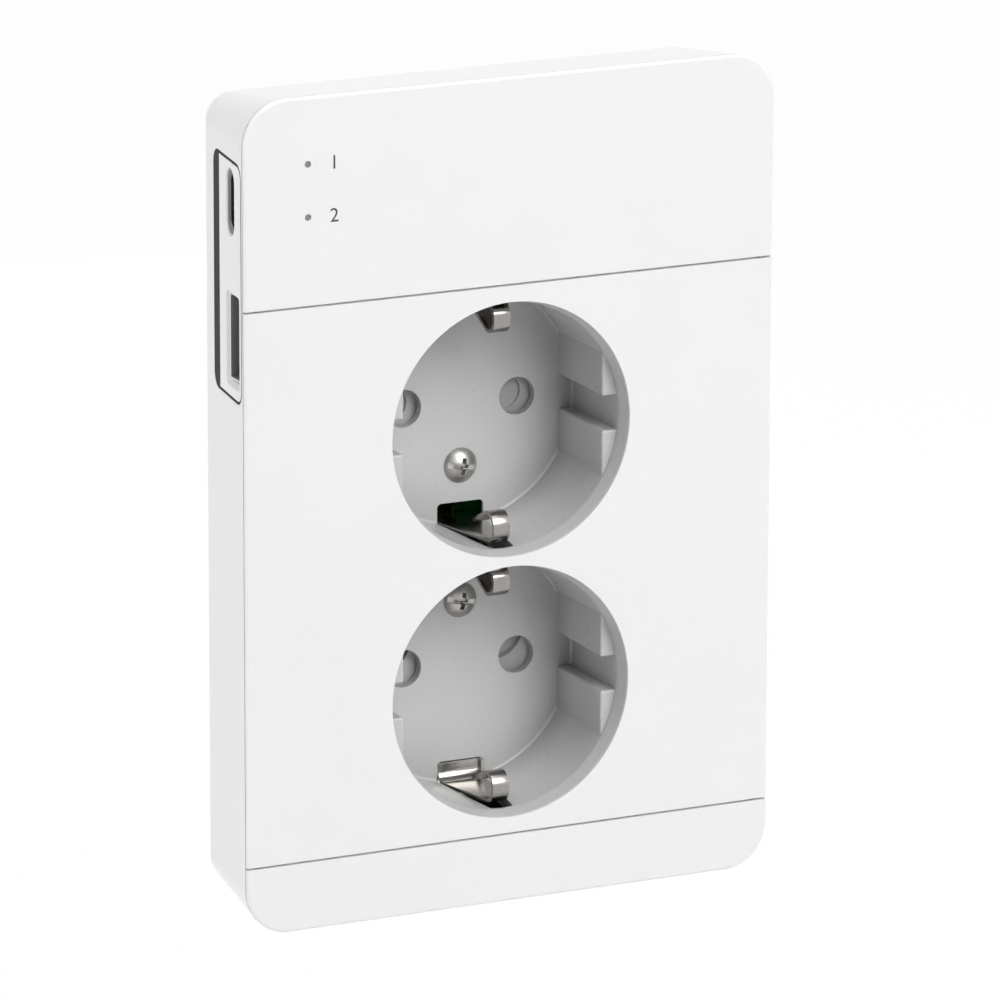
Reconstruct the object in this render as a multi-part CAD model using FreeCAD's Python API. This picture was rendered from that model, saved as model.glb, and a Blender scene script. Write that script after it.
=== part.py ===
import FreeCAD, Part
import math
import os

# Vertical two-gang earthed wall socket with a USB charger above it, in millimetres.
# X runs right and Z up as seen from the front, and Y runs into the wall.
# The origin is the centre of the wall box on the wall's surface.

V = FreeCAD.Vector

# Case
TOP_COVER_H = 31.7
FACE_R = 7.0
BOTTOM_COVER_H = 10.7
HOUSING_D = 19.35
DRAFT_IN = 2.75
WALL = 1.8
BACK_WALL = 1.5
SEAM_GAP = 0.22
COVER_LIP = 0.55
COVER_T = 1.6
COVER_FILLET = 0.5
COVER_FIT = 0.15
WELL_MARGIN = 2.65
GROOVE_W = 0.35
LEDGE_T = 0.75
LEDGE_OVERLAP = 1.2
HOOK_X = 25.0
HOOK_W = 6.0
HOOK_T = 1.2
HOOK_REACH = 5.0
HOOK_BARB = 0.7
HOOK_BARB_L = 0.9
HOOK_GAP = 0.2
CATCH_L = 1.9
CATCH_SIDE = 1.0

# Wells
WELL_PITCH = 40.9
WELL_R = 19.7
WELL_FLARE = 0.6
WELL_FLARE_D = 2.6
WELL_FLOOR_R = 19.0
WELL_FLOOR_ROUND = 0.4
WELL_DEPTH = 18.2
WELL_WALL = 1.2
WELL_LIP = 0.45
WELL_FLANGE_T = 1.2
WELL_FLANGE_W = 3.0
FLOOR_T = 1.5
PIN_PITCH = 19.0
PIN_HOLE_R = 2.95
KEY_X = 16.5
KEY_SLOT = 5.4
KEY_DROP = 2.9
KEY_ROUND = 0.35
WINDOW_W = 7.7
WINDOW_R0 = 15.6
WINDOW_R1 = 19.6
WINDOW_ROUND = 0.7
WINDOW_SKIN = 0.5
WINDOW_POCKET = 1.2
CLIP_SLOT_FIT = 0.25
CLIP_SLOT_DROP = 3.1
CLIP_SLOT_ROUND = 0.5
SCREW_DROP = 9.85

# Sheet metal
CLIP_T = 0.55
CLIP_W = 7.3
CLIP_NOSE_W = 2.7
CLIP_NOSE_DROP = 3.4
CLIP_NOSE_R = 14.1
CLIP_NOSE_BEND = 2.0
CLIP_FLANGE_L = 7.2
CLIP_FLANGE_TILT = 26.6
CLIP_ARM_R = 18.4
CLIP_ROOT_R = 18.8
CLIP_FOOT_BEND = 1.9
CLIP_FOOT_FIT = 0.15
CLIP_TURN_BEND = 0.7
CLIP_TURN_L = 1.1
CLIP_EAR_H = 1.0
CLIP_EAR_L = 1.8
CLIP_LIFT = 0.25
STRAP_T = 0.8
STRAP_W = 7.0
STRAP_RAIL_W = 2.0
STRAP_BRIDGE = 1.7
STRAP_WEB_Y = 3.9
PLATE_T = 1.0
PLATE_SIDE = 6.6
PLATE_EDGE = 7.0
PLATE_OVER = 2.9
PLATE_FOLD = 3.0
STAKE_R = 1.3
STAKE_HEAD = 0.8
STAKE_INSET = 3.4
BOX_SCREW_PITCH = 60.0
BOX_SLOT_W = 4.2
BOX_SLOT_L = 6.6

# Cover screws
COVER_SCREW_R = 2.8
COVER_SCREW_RISE = 1.5
COVER_SCREW_SHANK_R = 1.45
COVER_SCREW_HOLE_R = 1.5
COVER_SCREW_SLOT_W = 0.8
COVER_SCREW_SLOT_D = 0.9
COVER_SCREW_CROSS_W = 0.66
COVER_SCREW_CROSS_L = 2.9

# Contact base
BASE_R = 28.5
BASE_SIDE = 2.4
BASE_FRONT = 0.25
BASE_BACK = 25.0
BASE_WALL = 1.6
BASE_FACE_Y = 2.7
BASE_FACE_T = 1.2
REAR_T = 1.6
EAR_X = 18.0
EAR_R = 4.0
EAR_HOLE_R = 1.5
APERTURE_GAP = 0.7
CONTACT_T = 0.6
PIN_R = 2.4
CONTACT_BITE = 0.05
CONTACT_L = 12.0
BUSBAR_T = 0.8
POWER_BOARD_W = 8.2
POWER_BOARD_H = 10.0
POWER_BOARD_T = 1.2
POWER_BOARD_SET = 2.5
POWER_BOARD_GAP = 0.5

# Shutters
SHUTTER_T = 1.6
SHUTTER_GAP = 0.45
SHUTTER_PAD_W = 6.4
SHUTTER_PAD_H = 6.2
SHUTTER_PAD_ROUND = 2.0
SHUTTER_TRAVEL = 6.2
SHUTTER_RAMP_TILT = 6.0
SHUTTER_RAMP_D = 0.6
UPPER_RAMP = (-1.3, 0.5, 2.75)
LOWER_RAMP = (-2.7, 3.9, 4.8)
SHUTTER_RUN = 0.2
SCREW_BOSS_R = 2.6
RAIL_W = 1.2
SPRING_T = 0.3
SPRING_HALF = 5.6

# Terminals
CAGE_W = 8.0
CAGE_H = 10.0
CAGE_T = 0.8
CAGE_Y0 = 10.0
CAGE_Y1 = 21.0
LEVER_W = 3.0
LEVER_H = 2.4
LEVER_CLEAR = 0.3
LEVER_OUT = 1.6
LEVER_Z = 2.9
WIRE_HOLE_R = 1.6
WIRE_X = 1.9
WIRE_Z = -1.9

# Ports on the left side
PANEL_Y0 = -18.9
PANEL_Y1 = -4.0
PANEL_TOP = 6.45
PANEL_LOW = 9.45
PANEL_R = 2.4
PANEL_T = 1.2
PANEL_LINE = 0.45
PANEL_FRONT_LINE = 0.3
STRIP_W = 3.1
INLAY_FIT = 0.05
USB_C_Y = -13.3
USB_C_DROP = 16.25
USB_A_Y = -14.55
PORT_PITCH = 20.6
USB_C_OPEN = (4.0, 10.0)
USB_A_OPEN = (6.3, 13.7)
USB_C_LEAD = 0.35
USB_A_LEAD = 0.7
USB_A_ROUND = 0.5
USB_C_SIZE = (3.26, 8.94)
USB_A_SIZE = (5.7, 13.2)
USB_C_L = 6.9
USB_A_L = 14.0
SHELL_T = 0.3
SHELL_SET = 0.7
TONGUE_ROOT = 0.8

# USB electronics
BOARD_T = 1.6
BOARD_FACE_Y = -11.65
BOARD_SIDE = 4.6
BOARD_TOP = 4.2
BOARD_LOW = 1.7
BOARD_LEG_W = 13.5
BOARD_LEG_L = 15.5
POST_R = 2.6
POST_SIDE = 6.0
POST_TOP = 2.8
POST_LOW = 4.0
BOARD_SCREW_R = 1.1
LED_SIDE = 10.3
LED_DROP = (10.15, 18.15)
PIPE_R = 0.42
PIPE_FIT = 0.08
PIPE_SET = 0.12
PIPE_FLANGE_R = 1.2
LED_H = 0.7
CORE_SIZE = (18.0, 7.4, 16.0)
CORE_AT = (5.0, 1.6)
CORE_LIMB = 3.0
COIL_R = 5.4

# Values worked out from the ones above
MIDDLE_PANEL_H = WELL_PITCH + 2 * (WELL_R + WELL_MARGIN)
GROOVE_Z = MIDDLE_PANEL_H / 2
TOP_Z = GROOVE_Z + TOP_COVER_H
FACE_H = TOP_COVER_H + MIDDLE_PANEL_H + BOTTOM_COVER_H
FACE_MID_Z = TOP_Z - FACE_H / 2
PLATE_W = BOX_SCREW_PITCH + 2 * PLATE_EDGE
PLATE_H = MIDDLE_PANEL_H + 2 * PLATE_OVER
FACE_W = PLATE_W + 2 * PLATE_SIDE
SEAM_Y = -HOUSING_D
LIP_Y = SEAM_Y - SEAM_GAP
FRONT_Y = LIP_Y - COVER_LIP
COVER_BACK_Y = FRONT_Y + COVER_T
FLOOR_Y = FRONT_Y + WELL_DEPTH
FLOOR_BACK_Y = FLOOR_Y + FLOOR_T
WELL_OUT_R = WELL_R + WELL_WALL
WELL_TOP_Y = FRONT_Y + WELL_LIP
BOARD_X = FACE_W / 2 - BOARD_SIDE
BOARD_Z0 = GROOVE_Z + BOARD_LOW
BOARD_Z1 = TOP_Z - BOARD_TOP
POST_X = BOARD_X - POST_SIDE
POST_Z0 = BOARD_Z0 + POST_LOW
POST_Z1 = BOARD_Z1 - POST_TOP
BOARD_MID_Z = (BOARD_Z0 + BOARD_Z1) / 2
LED_X = LED_SIDE - FACE_W / 2
LED_Z = tuple(TOP_Z - drop for drop in LED_DROP)
USB_C_Z = TOP_Z - USB_C_DROP
USB_A_Z = USB_C_Z - PORT_PITCH
PANEL_Z0 = USB_A_Z - PANEL_LOW
PANEL_Z1 = USB_C_Z + PANEL_TOP
BASE_FACE_BACK = BASE_FACE_Y + BASE_FACE_T
STRAP_Y0 = FLOOR_BACK_Y - STRAP_T
SHUTTER_Y0 = FLOOR_BACK_Y + SHUTTER_GAP
BOARD_BACK_Y = BOARD_FACE_Y + BOARD_T
PLATE_BACK_Y = -BACK_WALL
PLATE_FACE_Y = PLATE_BACK_Y - PLATE_T
BUSBAR_X = PIN_PITCH / 2 + PIN_R + CONTACT_T
CAGE_X = BUSBAR_X + CAGE_W / 2
BASE_FLAT = CAGE_X + CAGE_W / 2 + BASE_WALL + BASE_SIDE
REAR_Y1 = BASE_BACK + REAR_T


def box(x0, x1, y0, y1, z0, z1):
    return Part.makeBox(x1 - x0, y1 - y0, z1 - z0, V(x0, y0, z0))


def drum(x, z, r, y0, y1):
    return Part.makeCylinder(r, y1 - y0, V(x, y0, z), V(0, 1, 0))


def fuse(shapes):
    return shapes[0].multiFuse(shapes[1:]).removeSplitter()


def facing_y(y):
    return lambda u, v: V(u, y, v)


def facing_x(x):
    return lambda u, v: V(x, u, v)


def rounded_wire(w, h, r, cu, cv, place):
    """Closed outline of a rounded rectangle, in the plane that place gives."""
    corners = ((1, 1, 0), (-1, 1, 90), (-1, -1, 180), (1, -1, 270))
    arcs = []
    for su, sv, start in corners:
        mu = cu + su * (w / 2 - r)
        mv = cv + sv * (h / 2 - r)
        points = []
        for step in (0, 45, 90):
            a = math.radians(start + step)
            points.append(place(mu + r * math.cos(a), mv + r * math.sin(a)))
        arcs.append(points)
    edges = []
    for i, points in enumerate(arcs):
        edges.append(Part.Arc(*points).toShape())
        after = arcs[(i + 1) % 4][0]
        if points[2].distanceToPoint(after) > 1e-6:
            edges.append(Part.LineSegment(points[2], after).toShape())
    return Part.Wire(edges)


def slab(w, h, r, cx, cz, y0, y1):
    """Rounded plate that faces the front."""
    face = Part.Face(rounded_wire(w, h, r, cx, cz, facing_y(y0)))
    return face.extrude(V(0, y1 - y0, 0))


def side_slab(w, h, r, cy, cz, x0, x1):
    """Rounded plate that faces the left side."""
    face = Part.Face(rounded_wire(w, h, r, cy, cz, facing_x(x0)))
    return face.extrude(V(x1 - x0, 0, 0))


def strip_face(points, radii, t, place):
    """Face of a bent strip: its centre line, a bend radius for each inner point, and its thickness."""
    heads = []
    for (u0, v0), (u1, v1) in zip(points, points[1:]):
        length = math.hypot(u1 - u0, v1 - v0)
        heads.append(((u1 - u0) / length, (v1 - v0) / length))

    def side(s):
        line = [("point", points[0][0] - heads[0][1] * s, points[0][1] + heads[0][0] * s)]
        for i, radius in enumerate(radii):
            (a, b), (c, d) = heads[i], heads[i + 1]
            turn = math.atan2(a * d - b * c, a * c + b * d)
            sign = math.copysign(1, turn)
            reach = radius * math.tan(abs(turn) / 2)
            pu, pv = points[i + 1]
            mu = pu - a * reach - b * sign * radius
            mv = pv - b * reach + a * sign * radius
            r = radius - s * sign
            au, av = mu + b * sign * r, mv - a * sign * r
            eu, ev = mu + d * sign * r, mv - c * sign * r
            hu, hv = b + d, -(a + c)
            size = math.hypot(hu, hv)
            line.append(("arc", au, av, mu + hu / size * sign * r, mv + hv / size * sign * r, eu, ev))
        a, b = heads[-1]
        line.append(("point", points[-1][0] - b * s, points[-1][1] + a * s))
        return line

    def edges_of(line):
        edges = []
        here = place(*line[0][1:])
        for item in line[1:]:
            start = place(*item[1:3])
            edges.append(Part.LineSegment(here, start).toShape())
            here = start
            if item[0] == "arc":
                end = place(*item[5:7])
                edges.append(Part.Arc(start, place(*item[3:5]), end).toShape())
                here = end
        return edges, here

    left, left_end = edges_of(side(t / 2))
    right, right_end = edges_of(side(-t / 2))
    starts = (side(t / 2)[0], side(-t / 2)[0])
    caps = [
        Part.LineSegment(left_end, right_end).toShape(),
        Part.LineSegment(place(*starts[0][1:]), place(*starts[1][1:])).toShape(),
    ]
    return Part.Face(Part.Wire(Part.__sortEdges__(left + right + caps)))


def case_section(y, inset):
    """Outline of the drafted case at depth y, drawn in by inset."""
    drawn = inset + DRAFT_IN * (y - SEAM_Y) / HOUSING_D
    return rounded_wire(FACE_W - 2 * drawn, FACE_H - 2 * drawn, FACE_R - drawn, 0, FACE_MID_Z, facing_y(y))


def case_loft(y0, y1, inset):
    return Part.makeLoft([case_section(y0, inset), case_section(y1, inset)], True, True)


def side_x(y, inset):
    """Where the left wall stands at depth y."""
    return -(FACE_W / 2 - inset - DRAFT_IN * (y - SEAM_Y) / HOUSING_D)


def wells():
    """Each well's centre and the side of the wall box that it lies on."""
    return ((WELL_PITCH / 2, 1), (-WELL_PITCH / 2, -1))


def base_outline(r, flat, y0, y1):
    reach = r + 1
    return drum(0, 0, r, y0, y1).common(box(-flat, flat, y0 - 1, y1 + 1, -reach, reach))


def box_slots(length, width, y0, y1):
    return [
        slab(length, width, width / 2 - 0.001, side * BOX_SCREW_PITCH / 2, 0, y0, y1)
        for side in (-1, 1)
    ]


def port_cutters(grow, x1):
    """Tools for the two port openings, from outside the case to x1."""
    x0 = -FACE_W / 2 - 1
    cw, ch = USB_C_OPEN
    aw, ah = USB_A_OPEN
    return [
        side_slab(cw + grow, ch + grow, (cw + grow) / 2 - 0.01, USB_C_Y, USB_C_Z, x0, x1),
        side_slab(aw + grow, ah + grow, USB_A_ROUND, USB_A_Y, USB_A_Z, x0, x1),
    ]


def lead_in(y, z, size, r, reach):
    """Sloped mouth of a port opening, on its wall side and its lower end."""
    w, h = size

    def skin(depth):
        return lambda u, v: V(side_x(u, 0) + depth, u, v)

    mouth = rounded_wire(w + reach, h + reach, r + reach / 2, y + reach / 2, z - reach / 2, skin(-0.02))
    throat = rounded_wire(w, h, r, y, z, skin(reach))
    return Part.makeLoft([mouth, throat], True, True)


def panel_bar(y0, y1, inset_z, r):
    """Bar along X with the height of the port panel, drawn in by inset_z at its ends."""
    z0 = PANEL_Z0 + inset_z
    z1 = PANEL_Z1 - inset_z
    return side_slab(y1 - y0, z1 - z0, r, (y0 + y1) / 2, (z0 + z1) / 2, -FACE_W / 2 - 1, -FACE_W / 4)


def panel_field(inset):
    """White field of the port panel: round corners at the front, square ones along the strip."""
    y0 = PANEL_Y0 + PANEL_FRONT_LINE + inset
    y1 = PANEL_Y1 - STRIP_W - inset
    r = PANEL_R - PANEL_LINE - inset
    whole = panel_bar(y0, y1 + PANEL_R, PANEL_LINE + inset, r)
    past = box(-FACE_W, FACE_W, y1, 0, PANEL_Z0 - 1, PANEL_Z1 + 1)
    return whole.cut(past)


def side_skin(inset0, inset1):
    """Layer of the drafted side between two insets."""
    ahead = SEAM_Y
    return case_loft(ahead, 0, inset0).cut(case_loft(ahead, 0, inset1))


def post_places():
    return [(x, z) for x in (-POST_X, POST_X) for z in (POST_Z0, POST_Z1)]


def stake_places():
    x = PLATE_W / 2 - STAKE_INSET
    z = PLATE_H / 2 - STAKE_INSET
    return [(sx * x, sz * z) for sx in (-1, 1) for sz in (-1, 1)]


def hook_edge(side):
    """Height of the case's inner face by the hooks, at the top or the bottom."""
    depth = COVER_BACK_Y + HOOK_REACH
    drawn = WALL + DRAFT_IN * (depth - SEAM_Y) / HOUSING_D
    return FACE_MID_Z + side * (FACE_H / 2 - drawn)


def flip(z_in, z_out):
    return min(z_in, z_out), max(z_in, z_out)


def hooks(side):
    """Snap arms of the top or the bottom cover."""
    wall = hook_edge(side)
    arm_out = wall - side * (HOOK_BARB + 2 * HOOK_GAP)
    tip_y = COVER_BACK_Y + HOOK_REACH
    shapes = []
    for x in (-HOOK_X, HOOK_X):
        z0, z1 = flip(arm_out - side * HOOK_T, arm_out)
        shapes.append(box(x - HOOK_W / 2, x + HOOK_W / 2, COVER_BACK_Y - 0.1, tip_y, z0, z1))
        z0, z1 = flip(arm_out, arm_out + side * HOOK_BARB)
        shapes.append(box(x - HOOK_W / 2, x + HOOK_W / 2, tip_y - HOOK_BARB_L, tip_y, z0, z1))
    return shapes


def catches():
    """Ribs inside the case that the snap arms hold behind."""
    shapes = []
    tip_y = COVER_BACK_Y + HOOK_REACH
    for side in (-1, 1):
        wall = hook_edge(side)
        z0, z1 = flip(wall - side * (HOOK_BARB + HOOK_GAP), wall + side * WALL / 2)
        y1 = tip_y - HOOK_BARB_L - HOOK_GAP
        half = HOOK_W / 2 + CATCH_SIDE
        for x in (-HOOK_X, HOOK_X):
            shapes.append(box(x - half, x + half, y1 - CATCH_L, y1, z0, z1))
    return shapes


def make_housing():
    shell = case_loft(SEAM_Y, 0, 0).cut(case_loft(SEAM_Y - 0.01, PLATE_BACK_Y, WALL))
    aperture = [drum(0, z, WELL_OUT_R + 0.5, -BACK_WALL - 1, 1) for z, _ in wells()]
    gap = APERTURE_GAP
    aperture.append(base_outline(BASE_R + gap, BASE_FLAT + gap, -BACK_WALL - 1, 1))
    aperture += box_slots(BOX_SLOT_L + 1.8, BOX_SLOT_W + 1.2, -BACK_WALL - 1, 1)
    posts = [drum(x, z, POST_R, BOARD_BACK_Y, PLATE_BACK_Y + 0.1) for x, z in post_places()]
    for x, z in stake_places():
        posts.append(drum(x, z, STAKE_R, PLATE_FACE_Y - 0.5, PLATE_BACK_Y + 0.1))
        posts.append(drum(x, z, STAKE_R + STAKE_HEAD, PLATE_FACE_Y - 0.9, PLATE_FACE_Y - 0.05))
    solid = fuse([shell.cut(aperture)] + posts + catches())
    holes = [drum(x, z, BOARD_SCREW_R, BOARD_BACK_Y - 1, BOARD_BACK_Y + 6) for x, z in post_places()]
    pocket = panel_bar(PANEL_Y0, PANEL_Y1, 0, PANEL_R).common(side_skin(-0.5, PANEL_T))
    return solid.cut(holes + [pocket] + port_cutters(0, side_x(SEAM_Y, 0) + WALL + DRAFT_IN + 1))


def cover_blank():
    """The three covers as one plate, before the grooves part them."""
    lip = slab(FACE_W, FACE_H, FACE_R, 0, FACE_MID_Z, FRONT_Y, LIP_Y)
    front = [e for e in lip.Edges if all(abs(v.Point.y - FRONT_Y) < 1e-6 for v in e.Vertexes)]
    lip = lip.makeFillet(COVER_FILLET, front)
    inset = WALL + COVER_FIT
    inner = slab(
        FACE_W - 2 * inset, FACE_H - 2 * inset, FACE_R - inset, 0, FACE_MID_Z, LIP_Y - 0.1, COVER_BACK_Y
    )
    return lip.fuse(inner).removeSplitter()


def make_socket_cover(blank):
    big = FACE_W
    edge = GROOVE_Z - GROOVE_W / 2
    front = box(-big, big, FRONT_Y - 1, 0, -edge, edge)
    reach = GROOVE_Z + LEDGE_OVERLAP
    ledge_y = COVER_BACK_Y - LEDGE_T
    ledge_x = FACE_W / 2 - WALL - COVER_FIT - 0.5
    panel = blank.common(front).fuse(box(-ledge_x, ledge_x, ledge_y, COVER_BACK_Y, -reach, reach))
    tools = []
    for z, _ in wells():
        tools.append(drum(0, z, WELL_R, FRONT_Y - 1, 1))
        tools.append(drum(0, z, WELL_OUT_R + 0.1, WELL_TOP_Y, 1))
    return panel.removeSplitter().cut(tools)


def make_end_cover(blank, side):
    """Top cover for side 1, bottom cover for side -1."""
    big = FACE_H
    edge = GROOVE_Z + GROOVE_W / 2
    z0, z1 = flip(side * edge, side * big)
    panel = blank.common(box(-big, big, FRONT_Y - 1, 0, z0, z1))
    reach = GROOVE_Z + LEDGE_OVERLAP + 0.15
    z0, z1 = flip(side * (edge - 1), side * reach)
    rebate = box(-big, big, COVER_BACK_Y - LEDGE_T - 0.05, 0, z0, z1)
    panel = fuse([panel.cut(rebate)] + hooks(side))
    if side < 0:
        return panel
    holes = [drum(LED_X, z, PIPE_R + PIPE_FIT, FRONT_Y - 1, 0) for z in LED_Z]
    return panel.cut(holes)


def key_blocks(z):
    """Four guide blocks that narrow a well at its left and right."""
    top_y = FRONT_Y + KEY_DROP
    shapes = []
    for sx in (-1, 1):
        for sz in (-1, 1):
            block = box(KEY_X, WELL_OUT_R, top_y, FLOOR_Y + 0.1, KEY_SLOT / 2, WELL_R)
            edges = []
            for e in block.Edges:
                a, b = e.Vertexes[0].Point, e.Vertexes[1].Point
                inner = abs(a.x - KEY_X) < 1e-6 and abs(b.x - KEY_X) < 1e-6
                top = abs(a.y - top_y) < 1e-6 and abs(b.y - top_y) < 1e-6
                low = abs(a.z - KEY_SLOT / 2) < 1e-6 and abs(b.z - KEY_SLOT / 2) < 1e-6
                if (inner + top + low) == 2:
                    edges.append(e)
            block = block.makeFillet(KEY_ROUND, edges)
            if sx < 0:
                block = block.mirror(V(0, 0, 0), V(1, 0, 0))
            if sz < 0:
                block = block.mirror(V(0, 0, 0), V(0, 0, 1))
            block.translate(V(0, 0, z))
            shapes.append(block.common(drum(0, z, WELL_R + WELL_WALL / 2, FRONT_Y, FLOOR_Y + 0.1)))
    return shapes


def clip_sides(side):
    """For each clip of a well: its direction along Z, and whether it backs on the other well."""
    return ((1, side < 0), (-1, side > 0))


def well_bore(z):
    """Inside of a well: a flared mouth, a nearly straight wall and a rounded floor edge."""
    wall_r = WELL_R - WELL_FLARE
    bend = WELL_FLOOR_ROUND
    middle = math.sqrt(0.5) * bend
    rim = [V(0, WELL_TOP_Y - 1, z), V(WELL_R, WELL_TOP_Y - 1, z), V(WELL_R, WELL_TOP_Y, z)]
    rim += [V(wall_r, FRONT_Y + WELL_FLARE_D, z), V(WELL_FLOOR_R, FLOOR_Y - bend, z)]
    edges = [Part.LineSegment(a, b).toShape() for a, b in zip(rim, rim[1:])]
    turn = V(WELL_FLOOR_R - bend + middle, FLOOR_Y - bend + middle, z)
    foot = V(WELL_FLOOR_R - bend, FLOOR_Y, z)
    axis_foot = V(0, FLOOR_Y, z)
    edges.append(Part.Arc(rim[-1], turn, foot).toShape())
    edges.append(Part.LineSegment(foot, axis_foot).toShape())
    edges.append(Part.LineSegment(axis_foot, rim[0]).toShape())
    return Part.Face(Part.Wire(edges)).revolve(V(0, 0, z), V(0, 1, 0), 360)


def clip_window(z, way):
    """Tools for a clip's window in the floor, whose edge is thinned from behind."""
    mid = z + way * (WINDOW_R0 + WINDOW_R1) / 2
    hole = slab(WINDOW_W, WINDOW_R1 - WINDOW_R0, WINDOW_ROUND, 0, mid, FLOOR_Y - 1, FLOOR_BACK_Y + 1)
    half = WINDOW_W / 2 + WINDOW_POCKET
    z0, z1 = flip(z + way * (WINDOW_R0 - WINDOW_POCKET), z + way * WINDOW_R1)
    return [hole, box(-half, half, FLOOR_Y + WINDOW_SKIN, FLOOR_BACK_Y + 1, z0, z1)]


def clip_slot(z, way, middle):
    """Tool for the slot in a well's wall that a clip's arm springs back into, tapered as the arm is."""
    y0 = FRONT_Y + CLIP_SLOT_DROP
    front = CLIP_NOSE_W / 2 + 2 * CLIP_SLOT_FIT
    back = CLIP_W / 2 + CLIP_SLOT_FIT
    reach = WELL_PITCH / 2 + 0.1 if middle else WELL_OUT_R + 0.1
    z0, z1 = flip(z + way * (WELL_FLOOR_R - 1.5), z + way * reach)
    outline = [(-front, y0), (front, y0), (back, FLOOR_Y + 0.01), (-back, FLOOR_Y + 0.01)]
    corners = [V(x, y, z0) for x, y in outline]
    slot = Part.Face(Part.makePolygon(corners + corners[:1])).extrude(V(0, 0, z1 - z0))
    ends = [e for e in slot.Edges if all(abs(v.Point.y - y0) < 1e-6 for v in e.Vertexes)]
    upright = [e for e in ends if abs(e.Vertexes[0].Point.x - e.Vertexes[1].Point.x) < 1e-6]
    return slot.makeFillet(CLIP_SLOT_ROUND, upright)


def make_well_moulding():
    flange_y1 = COVER_BACK_Y + WELL_FLANGE_T
    flange_w = 2 * (WELL_OUT_R + WELL_FLANGE_W)
    flange = slab(flange_w, MIDDLE_PANEL_H - 1.2, 3.0, 0, 0, COVER_BACK_Y, flange_y1)
    tubes = [drum(0, z, WELL_OUT_R, WELL_TOP_Y, FLOOR_BACK_Y) for z, _ in wells()]
    body = fuse([flange] + tubes).cut([well_bore(z) for z, _ in wells()])
    body = fuse([body] + [block for z, _ in wells() for block in key_blocks(z)])
    tools = []
    for z, side in wells():
        for sx in (-1, 1):
            tools.append(drum(sx * PIN_PITCH / 2, z, PIN_HOLE_R, FLOOR_Y - 1, FLOOR_BACK_Y + 1))
        screw_z = z - side * SCREW_DROP
        tools.append(drum(0, screw_z, COVER_SCREW_HOLE_R + 0.25, FLOOR_Y - 1, FLOOR_BACK_Y + 1))
        for way, middle in clip_sides(side):
            tools += clip_window(z, way)
            tools.append(clip_slot(z, way, middle))
    groove = WELL_PITCH / 2 + WINDOW_R1
    half = STRAP_W / 2 + 0.15
    tools.append(box(-half, half, STRAP_Y0 - 0.02, 1, -groove, groove))
    return body.cut(tools)


def make_mounting_plate():
    plate = slab(PLATE_W, PLATE_H, 2.5, 0, 0, PLATE_FACE_Y, PLATE_BACK_Y)
    folds = []
    for side in (-1, 1):
        x0, x1 = flip(side * (PLATE_W / 2 - PLATE_T), side * PLATE_W / 2)
        half = PLATE_H / 2 - 6
        folds.append(box(x0, x1, PLATE_FACE_Y - PLATE_FOLD, PLATE_FACE_Y + 0.2, -half, half))
    plate = fuse([plate] + folds)
    tools = [drum(0, z, WELL_OUT_R + 0.4, PLATE_FACE_Y - 1, 0) for z, _ in wells()]
    tools += box_slots(BOX_SLOT_L, BOX_SLOT_W, PLATE_FACE_Y - 1, 0)
    tools += [drum(x, z, STAKE_R + 0.05, PLATE_FACE_Y - 1, 0) for x, z in stake_places()]
    tools += [drum(side * EAR_X, 0, EAR_HOLE_R + 0.1, PLATE_FACE_Y - 1, 0) for side in (-1, 1)]
    return plate.cut(tools)


def bridge_edge():
    """How far below a well's centre the shutter's bridge starts, so that it clears the screw boss."""
    return SCREW_DROP - SCREW_BOSS_R - SHUTTER_RUN - SHUTTER_TRAVEL


def shutter_guides(z, side):
    """Rails beside a shutter's pads and the two seats of its spring."""
    rail_x = PIN_PITCH / 2 + SHUTTER_PAD_W / 2 + SHUTTER_RUN
    low = z - side * (SHUTTER_PAD_H / 2 + SHUTTER_TRAVEL)
    z0, z1 = flip(low, z + side * SHUTTER_PAD_H / 2)
    solids = []
    for sx in (-1, 1):
        x0, x1 = flip(sx * rail_x, sx * (rail_x + RAIL_W))
        rail = box(x0, x1, SHUTTER_Y0, BASE_FACE_Y + 0.1, z0, z1)
        solids.append(rail.common(base_outline(BASE_R - 0.1, BASE_FLAT, -2, BASE_BACK)))
        x0, x1 = flip(sx * (SPRING_HALF - 1.2), sx * (SPRING_HALF + 0.3))
        s0, s1 = flip(z - side * spring_seat(), z - side * (spring_seat() + 1.2))
        solids.append(box(x0, x1, SHUTTER_Y0, BASE_FACE_Y + 0.1, s0, s1))
    return solids


def spring_seat():
    """Distance of a spring's seats from the well's centre."""
    return SCREW_DROP - SCREW_BOSS_R - 0.2


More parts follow.
